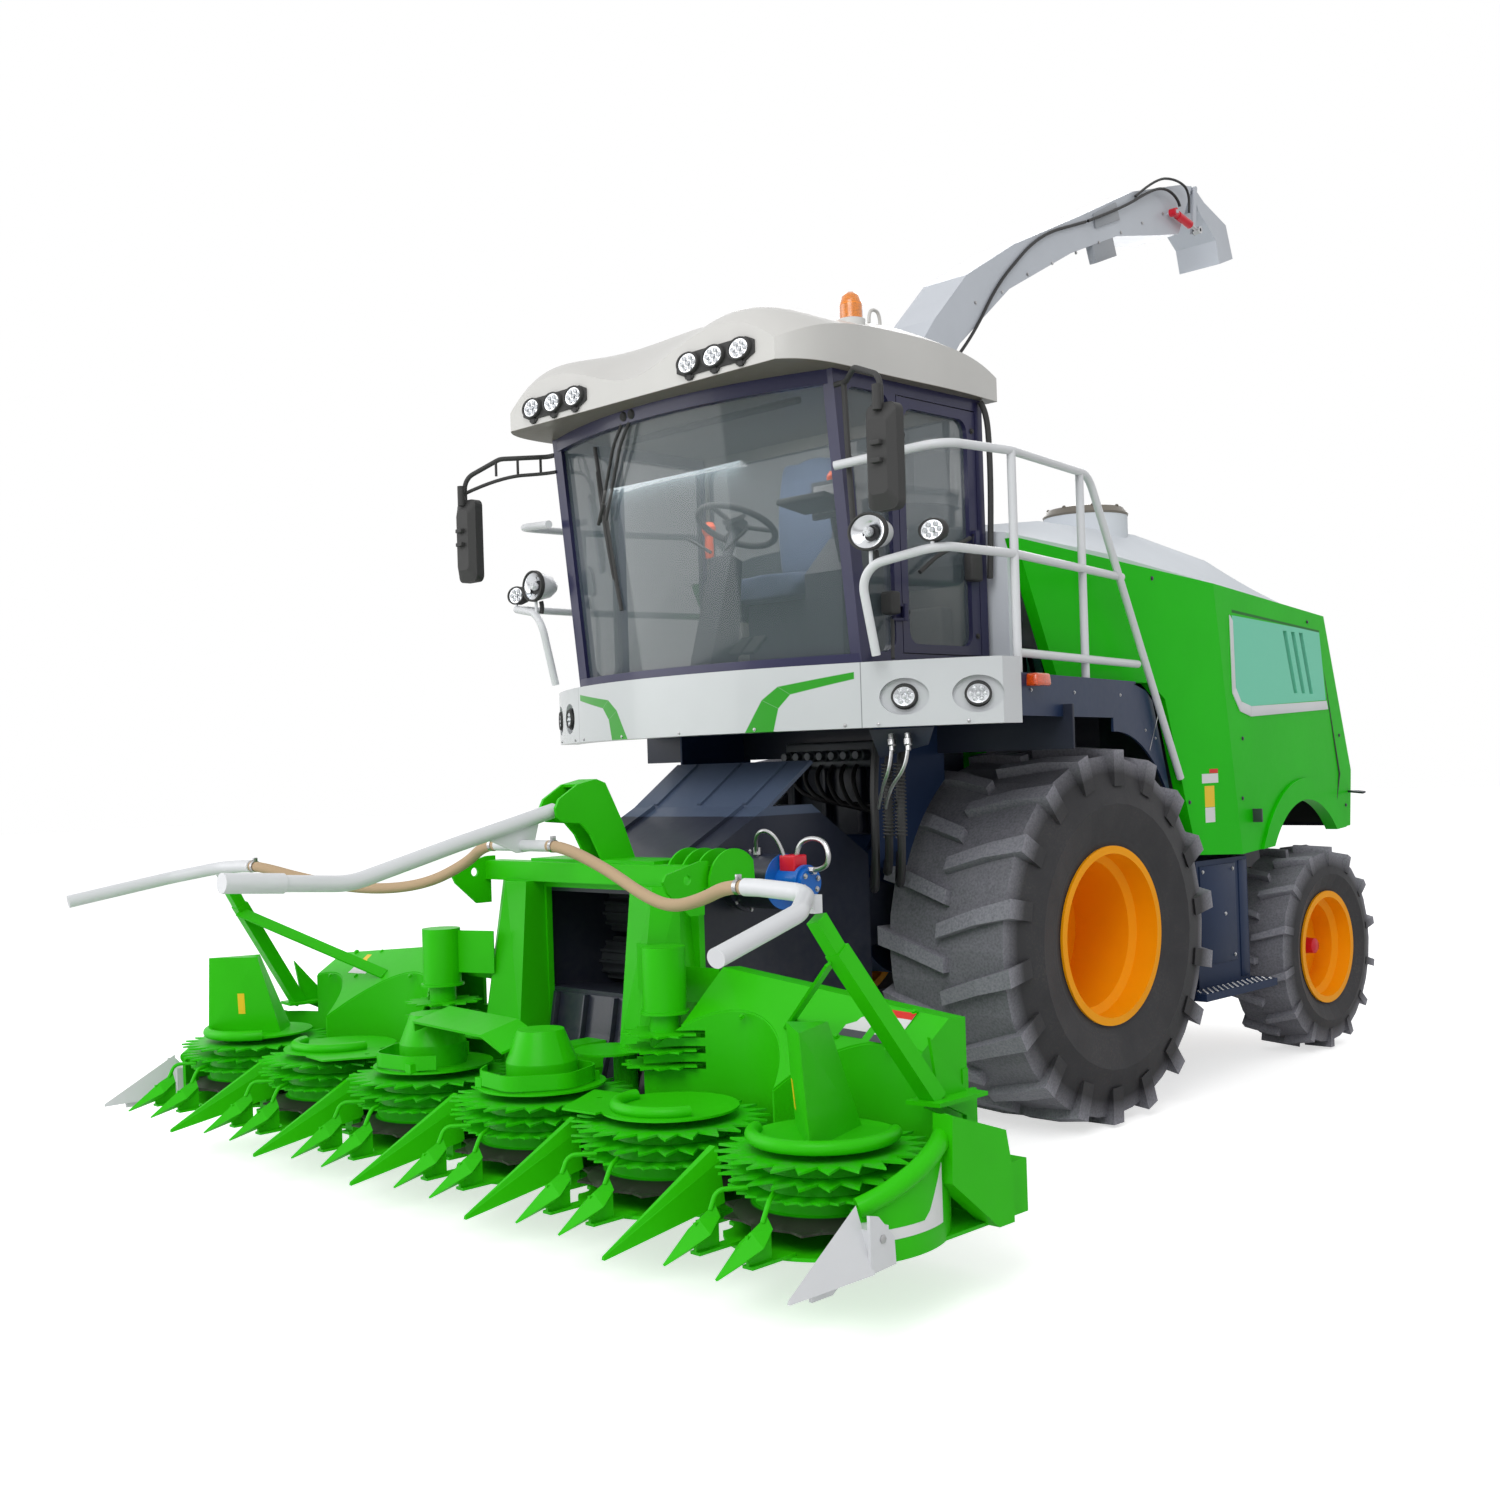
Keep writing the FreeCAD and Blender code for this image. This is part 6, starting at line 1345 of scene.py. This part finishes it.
    def tank(self) -> None:
        """Build the side tanks' doors and the perforated steps."""
        door = Form("tank_doors", Tone.SLATE).side_plate(self.tank_side, box(1.04, 0.64, 1.42, 1.17), 0.006, 0.002)
        door.side_plate(self.tank_side, box(1.46, 0.54, 1.545, 1.18), 0.005, 0.002).mirrored().done()
        heads = ((1.07, 1.14), (1.39, 1.14), (1.07, 0.67), (1.39, 0.67), (1.3, 0.9))
        Form("tank_bolts", Tone.STEEL).bolts([(self.tank_side + 0.006, y, z) for y, z in heads], LEFT,
                                              0.008).mirrored().done()
        grid = Form("step_grips", Tone.STEEL)
        for row in range(5):
            for place in range(14):
                x, y = 1.075 + row * self.grip_pitch[0], 0.91 + place * self.grip_pitch[1] + (row % 2) * 0.026
                grid.turned([(0.0075, -0.0005), (0.0065, 0.0035), (0.005, 0.004)], (x, y, 0.52), 8)
        grid.mirrored().done()


@dataclass
class WheelTrim:
    """Wheel bolts and hub caps. A hub is the Y and Z of its wheel's axis."""

    front_hub: Tuple[float, float] = (0.0, 0.912)
    rear_hub: Tuple[float, float] = (2.457, 0.605)
    front_disc: float = 0.73
    rear_disc: float = 0.88
    rear_cap: float = 0.95
    front_circle: float = 0.165
    rear_circle: float = 0.12
    bolt_count: int = 10

    def build(self) -> None:
        """Build the trim of the four wheels."""
        for side, name in ((1, "left"), (-1, "right")):
            way = LEFT * side
            for end, x, (y, z), radius, size in (("front", self.front_disc, self.front_hub, self.front_circle, 0.016),
                                                 ("rear", self.rear_disc, self.rear_hub, self.rear_circle, 0.012)):
                form = Form(f"wheel_bolts_{end}_{name}", Tone.STEEL, f"wheel_{end}_{name}")
                form.bolts([(side * x, y + u, z + v) for u, v in ring(self.bolt_count, radius)], way, size).done()
            cap = Form(f"hub_cap_{name}", Tone.RED, f"wheel_rear_{name}")
            cap.turned([(0, 0.068), (0.03, 0.066), (0.045, 0.055), (0.048, 0), (0.062, -0.004), (0.062, -0.016)],
                       facing((side * self.rear_cap, *self.rear_hub), way), 28).done()


# ---------------------------------------------------------------- header


@dataclass
class BoomHoses:
    """The two tan hoses that hang along the push boom, and their clamps."""

    diameter: float = 0.048
    points: Tuple[Point, ...] = (
        (0.1803, -2.61, 1.48), (0.27, -2.61, 1.48), (0.48, -2.56, 1.39), (0.76, -2.6, 1.29),
        (1.05, -2.72, 1.27), (1.35, -2.85, 1.32), (1.58, -2.952, 1.381), (1.6677, -2.952, 1.381),
    )

    def build(self) -> None:
        for side, name in ((1, "left"), (-1, "right")):
            places = [at(side * x, y, z) for x, y, z in self.points]
            hose = route(f"boom_hose_{name}", places)
            hose.data.resolution_u = 12
            line = bpy.data.meshes.new_from_object(hose)
            bpy.data.meshes.remove(line)
            thicken(hose, self.diameter / 2, 6)
            hose.data.materials.append(Tone.TAN_HOSE.material())
            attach(hose, "header")
            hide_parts(f"hose_{name}")
            clamps = Form(f"hose_clamps_{name}", Tone.STEEL, "header")
            way = LEFT * side
            for point in (places[0] + way * 0.028, places[-1] - way * 0.03):
                clamps.turned([(0.0245, -0.009), (0.0268, -0.009), (0.0268, 0.009), (0.0245, 0.009)],
                              facing(point, way), 28)
                clamps.block((0.012, 0.022, 0.018), point + UP * 0.024, 0.002)
            band = clamps.done()


@dataclass
class HeaderTrim:
    """Bolts, blank notices, reflectors, the white stripes and the crop pan of the crop header."""

    rise: float = 0.565
    run: float = 0.824
    lean: float = 0.051
    edge: Point = (1.675, -2.4543, 0.8016)
    band_radius: float = 0.4062
    band_middle: Tuple[float, float] = (1.875, -2.83)
    band_foot: float = 0.318
    band_top: float = 0.352
    facet: int = 4  # degrees of the band that one facet spans

    def build(self) -> None:
        """Build the header's trim."""
        self.notices()
        self.stripe()
        self.fasteners()
        self.intake()

    def intake(self) -> None:
        """Build the crop pan between the towers."""
        front = ((-2.205, 0.8), (-2.235, 0.64), (-2.29, 0.47), (-2.33, 0.33))
        back = ((-2.318, 0.326), (-2.278, 0.466), (-2.223, 0.638), (-2.193, 0.8))
        pan = Form("intake_pan", Tone.FEEDER, "header").side_plate(-0.43, front + back, 0.86, 0.002)
        ribs = [(y - 0.028, z) for y, z in front] + list(front[::-1])
        for x in (-0.3, -0.1, 0.1, 0.3):
            pan.side_plate(x, ribs, 0.014, 0.002)
        pan.done()

    def cover(self, x: float, y: float) -> Vector:
        """A point on the sloping cover's top."""
        across, behind = abs(x) - self.edge[0], y - self.edge[1]
        return at(x, y, self.edge[2] + (self.rise * behind - self.lean * across) / self.run)

    def notices(self) -> None:
        """Build reflectors and blank notices on covers and towers."""
        slope, side = (Vector((lean, -self.rise, self.run)) for lean in (self.lean, -self.lean))
        up = Vector((0, self.run, self.rise))
        heads = Form("cover_notice_heads", Tone.RED_PAPER, "header")
        papers = Form("cover_notice_papers", Tone.PAPER, "header")
        feet = Form("cover_notice_feet", Tone.DARK_PAPER, "header")
        yellows = Form("header_reflectors", Tone.YELLOW_PAPER, "header")
        edging, proud = (0.108, 0.034), slope * 0.0006
        for x in (1.655, 1.8):
            papers.label(self.cover(x, -2.375), slope, (0.108, 0.15), up)
            heads.label(self.cover(x, -2.322) + proud, slope, edging, up)
            feet.label(self.cover(x, -2.428) + proud, slope, edging, up)
        papers.label(self.cover(-1.62, -2.405), side, (0.17, 0.075), up)
        yellows.label(self.cover(-1.62, -2.345), side, (0.17, 0.06), up)
        yellows.label((1.767, -2.8535, 0.69), Vector((-0.628, -0.773, -0.091)), (0.034, 0.1))
        yellows.label((-1.857, -2.929, 0.71), Vector((0.628, -0.773, -0.091)), (0.034, 0.1))
        for form in (heads, papers, feet, yellows):
            form.done()

    def stripe(self) -> None:
        """Build the white stripe along the outer face of each end band, from short facets."""
        for side, name in ((1, "left"), (-1, "right")):
            form = Form(f"band_stripe_{name}", Tone.PAPER, "header")
            for first in range(-30, 18, self.facet):
                last = first + self.facet + 0.2
                tops = (self.band_top + max(turn - 4, 0) * 0.011 for turn in (last, first))
                heights = (self.band_foot, self.band_foot, *tops)
                corners = []
                for turn, z in zip((first, last, last, first), heights):
                    angle = math.radians(turn)
                    corners.append((side * (self.band_middle[0] + self.band_radius * math.cos(angle)),
                                    self.band_middle[1] + self.band_radius * math.sin(angle), z))
                middle = math.radians(first + self.facet / 2)
                form.plate(corners, Vector((side * math.cos(middle), math.sin(middle), 0.0)) * 0.0015)
            form.done()

    def fasteners(self) -> None:
        """Build the bolts on the covers and cones."""
        edge = [self.cover(side * x, y) for side in (-1, 1) for x in (1.12, 1.36, 1.6, 1.84) for y in (-2.452, -2.3)]
        Form("header_bolts", Tone.LIME, "header").bolts(edge, Vector((0, -self.rise, self.run)), 0.01).done()
        Form("cone_bolts", Tone.STEEL, "header").bolts([(2.2975, -3.045, 0.35)], LEFT, 0.014).mirrored().done()


@dataclass
class Underbody:
    """The dark valve bank, pipes and closing sheets under the cab."""

    pitch: float = 0.08

    def build(self) -> None:
        """Build what closes the space between the front wheels."""
        sheets = Form("underbody_sheets", Tone.CHASSIS).block((0.84, 0.014, 0.5), (0, -0.555, 1.42), 0.004)
        sheets.block((2.86, 0.014, 0.2), (0, -0.64, 1.815), 0.003)
        for x in (-0.34, -0.12, 0.12, 0.34):
            sheets.block((0.03, 0.05, 0.48), (x, -0.582, 1.43), 0.006)
        sheets.done()
        bank = Form("valve_bank", Tone.DARK_STEEL).block((0.62, 0.14, 0.13), (0.05, -0.665, 1.76), 0.012)
        for index in range(7):
            bank.turned([(0, 0), (0.028, 0), (0.028, 0.05), (0.02, 0.055), (0.02, 0.085), (0, 0.087)],
                        facing((-0.19 + index * self.pitch, -0.735, 1.82), FORWARD), 16)
        bank.done()
        pipes = Form("underbody_hoses", Tone.BLACK_HOSE)
        for index in range(6):
            x = -0.17 + index * self.pitch
            pipes.tube([(x, -0.74, 1.77), (x, -0.8, 1.72), (x + 0.1, -0.8, 1.62 - 0.02 * index),
                        (x + 0.3, -0.74, 1.58), (0.42, -0.6, 1.5 + 0.03 * index)], 0.012)
        pipes.done()


@dataclass
class Hydraulics:
    """Black spring-wrapped hoses, bent steel pipes and the feed motor's red block."""

    motor: Tuple[float, float] = (-1.8, 1.29)
    coil: Point = (0.886, -1.285, 1.78)
    coil_radius: float = 0.026
    coil_points: int = 150
    coil_turn: float = 50.0  # degrees from one point of a coil to the next
    coil_fall: float = 0.0022  # metres from one point to the next

    def build(self) -> None:
        """Build the hydraulic lines between the machine and the header."""
        hoses = Form("hydraulic_hoses", Tone.BLACK_HOSE)
        for shift, sag in ((0, 0), (0.07, 0.05), (-0.08, 0.08)):
            hoses.tube([(x + shift, y, z) for x, y, z in (
                (0.86, -1.22, 1.9), (0.88, -1.28, 1.75), (0.9, -1.3, 1.5 - sag), (0.84, -1.24, 1.3 - sag),
                (0.72, -1.12, 1.28 - sag), (0.62, -0.98, 1.36))], 0.019)
        hoses.done()
        coils = Form("hose_springs", Tone.BLACK)
        for shift in (0, 0.07):
            points = []
            for index in range(self.coil_points):
                turn = index * math.radians(self.coil_turn)
                points.append((self.coil[0] + shift + self.coil_radius * math.cos(turn),
                               self.coil[1] + self.coil_radius * math.sin(turn), self.coil[2] - index * self.coil_fall))
            coils.tube(points, 0.004, 3, 1)
        coils.done()
        pipes = Form("header_pipes", Tone.STEEL, "header")
        pipes.tube([(0.81, -1.8, 1.365), (0.81, -1.8, 1.43), (0.86, -1.79, 1.475), (0.96, -1.79, 1.47),
                    (1, -1.8, 1.4), (0.97, -1.8, 1.345), (0.885, -1.8, 1.34)], 0.011)
        pipes.tube([(0.62, -1.84, 1.4), (0.63, -1.87, 1.48), (0.7, -1.87, 1.52), (0.76, -1.84, 1.46),
                    (0.77, -1.82, 1.36)], 0.009)
        for point, way in (((0.81, -1.8, 1.365), UP), ((0.885, -1.8, 1.34), LEFT), ((0.77, -1.82, 1.365), UP),
                           ((0.62, -1.84, 1.405), UP)):
            pipes.turned(drum(0.017, 0, 0.03), facing(point, way), 6)
        pipes.done()
        Form("motor_block", Tone.RED, "header").block((0.09, 0.08, 0.07), (0.79, -1.8, 1.335), 0.008).done()
        bolts = Form("motor_bolts", Tone.STEEL, "header")
        y, z = self.motor
        for x, count, radius, start, size in ((0.8905, 6, 0.045, 20, 0.009), (0.5345, 8, 0.126, 0, 0.0065)):
            bolts.bolts([(x, y + u, z + v) for u, v in ring(count, radius, start)], LEFT, size)
        bolts.done()


# ---------------------------------------------------------------- discharge spout


@dataclass
class SpoutTrim:
    """Grey wear plates, bolts and hose loops of the discharge spout."""

    half: float = 0.15
    bolt_count: int = 9
    bolt_first: float = 0.45
    bolt_pitch: float = 0.25
    bolt_lift: float = 0.11  # above the duct's lower edge
    kink: float = 0.9  # the Y at which the lower edge grows steeper

    def build(self) -> None:
        """Build the spout's trim."""
        plates = Form("spout_wear_plates", Tone.GREY, "spout")
        plates.side_plate(self.half, ((1.66, 4.945), (1.93, 5.055), (1.89, 5.155), (1.64, 5.03)), 0.012, 0.003)
        plates.side_plate(0.1, ((1.67, 4.74), (1.9, 4.83), (1.86, 4.938), (1.63, 4.845)), 0.05, 0.004).done()
        bolts = Form("spout_bolts", Tone.STEEL, "spout")
        for index in range(self.bolt_count):
            y = self.bolt_first + index * self.bolt_pitch
            low = 4.17 + (y - self.bolt_first) * 0.42 if y < self.kink else 4.4 + (y - self.kink) * 0.45
            bolts.bolts([(self.half + 0.0005, y, low + self.bolt_lift)], LEFT, 0.008)
        bolts.done()
        loops = Form("spout_hose_loops", Tone.BLACK_HOSE, "spout")
        for radius, points in (
            (0.009, ((0.02, 1.56, 4.965), (0.022, 1.95, 5.13), (0.03, 2.25, 5.3), (0.04, 2.42, 5.36),
                     (0.05, 2.56, 5.32), (0.05, 2.58, 5.27))),
            (0.008, ((0.02, 2.1, 5.235), (0.03, 2.33, 5.4), (0.05, 2.55, 5.44), (0.05, 2.72, 5.4),
                     (0.045, 2.7, 5.26))),
        ):
            loops.tube([(self.half + proud, y, z) for proud, y, z in points], radius)
        loops.done()


# ---------------------------------------------------------------- studio


@dataclass(frozen=True)
class Studio:
    """The camera, the pale floor and the lights."""

    eye: Point = (5.5245, -6.7461 + AXLE_Y, 1.7803)
    azimuth: float = 44.487
    elevation: float = -0.3585
    roll: float = -1.8082
    lens: float = 39.08
    sensor: float = 36.0
    shift_x: float = -0.01249
    shift_y: float = 0.00388
    floor_half: float = 60.0
    floor_glow: float = 0.62
    sky_unseen: float = 0.58

    def camera(self) -> None:
        """Set the camera."""
        data = bpy.data.cameras.new("camera")
        data.lens = self.lens
        data.sensor_width = self.sensor
        data.shift_x = self.shift_x
        data.shift_y = self.shift_y
        data.clip_end = 200.0
        a, e, r = (math.radians(angle) for angle in (self.azimuth, self.elevation, self.roll))
        back = Vector((math.sin(a) * math.cos(e), -math.cos(a) * math.cos(e), math.sin(e)))
        right = Vector((math.cos(a), math.sin(a), 0.0))
        up = back.cross(right)
        turn = Matrix((right * math.cos(r) + up * math.sin(r), up * math.cos(r) - right * math.sin(r), back))
        obj = show("camera", data)
        obj.matrix_world = Matrix.Translation(self.eye) @ turn.transposed().to_4x4()
        bpy.context.scene.camera = obj

    def unlit(self, tree: bpy.types.NodeTree, *kinds: str) -> Sock:
        """Tell the rays that shall see plain white from the others.

        Args:
            tree: The node tree that asks.
            kinds: The kinds of ray that see plain white.

        Returns:
            1 for those kinds and 0 for the others.
        """
        path = tree.nodes.new("ShaderNodeLightPath")
        first, *others = [Sock(tree, path.outputs[f"Is {kind} Ray"]) for kind in kinds]
        for other in others:
            first = first + other
        return first.clamped()

    def floor(self) -> None:
        """Lay the pale floor."""
        mesh = bpy.data.meshes.new("floor")
        shape = bmesh.new()
        bmesh.ops.create_grid(shape, x_segments=1, y_segments=1, size=self.floor_half)
        shape.to_mesh(mesh)
        shape.free()
        shader = Shader("floor_paper")
        shader.finish(Base_Color=(0.8, 0.8, 0.8), Roughness=0.9, Specular_IOR_Level=0.1)
        paper = shader.surface.outputs[0]
        white = shader.add("ShaderNodeEmission", {"Color": (1, 1, 1), "Strength": self.floor_glow})
        both = shader.add("ShaderNodeAddShader", {0: paper, 1: white.outputs[0]})
        seen = self.unlit(shader.tree, "Camera", "Transmission")
        mixed = shader.add("ShaderNodeMixShader", {0: seen, 1: paper, 2: both.outputs[0]})
        output = next(node for node in shader.tree.nodes if node.type == "OUTPUT_MATERIAL")
        shader.tree.links.new(mixed.outputs[0], output.inputs["Surface"])
        mesh.materials.append(shader.material)
        show("floor", mesh)

    def lights(self) -> None:
        """Hang three large soft lamps and a small one in the cab, and set the pale world."""
        for name, place, size, power, shine, aim in (
            ("key", (5, -9, 9), 7, 640, 1, (0, 0, 1.5)),
            ("fill", (-8, -9, 5), 8, 380, 1, (0, -1, 1.2)),
            ("rear", (-5, 8, 7.5), 7, 420, 1, (0, 1, 2)),
            ("cab", (0, -1.05, 3.25), 0.9, 16, 0, (0, -0.75, 2.4)),
        ):
            data = bpy.data.lights.new(name, "AREA")
            data.shape = "SQUARE"
            data.size = size
            data.energy = power
            data.specular_factor = shine
            way = Vector(place) - Vector(aim)
            turn = way.to_track_quat("Z", "Y").to_matrix().to_4x4()
            show(name, data).matrix_world = Matrix.Translation(place) @ turn
        world = bpy.data.worlds.new("studio")
        world.use_nodes = True
        tree = world.node_tree
        sky = next(node for node in tree.nodes if node.type == "BACKGROUND")
        seen = self.unlit(tree, "Camera", "Transmission", "Glossy")
        strength = seen * (1.0 - self.sky_unseen) + self.sky_unseen
        tree.links.new(strength.socket, sky.inputs["Strength"])
        sky.inputs["Color"].default_value = (1, 1, 1, 1)
        bpy.context.scene.world = world

    def build(self) -> None:
        """Set all of it."""
        bpy.context.scene.view_settings.view_transform = "Standard"
        self.camera()
        self.floor()
        self.lights()


def main() -> None:
    """Build the scene and report each part of it."""
    logging.basicConfig(level=logging.INFO, format="%(name)s: %(message)s")
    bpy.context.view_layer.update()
    Studio().build()
    BoomHoses().build()
    dress_nodes()
    for assembly in (WorkLamps(), RoofTrim(), Wipers(), DriverPlace(), CabTrim(), BeamTrim(), BodyTrim(), WheelTrim(),
                     HeaderTrim(), Underbody(), Hydraulics(), SpoutTrim()):
        assembly.build()
        LOG.info("%s built", type(assembly).__name__)


if __name__ == "__main__":
    main()
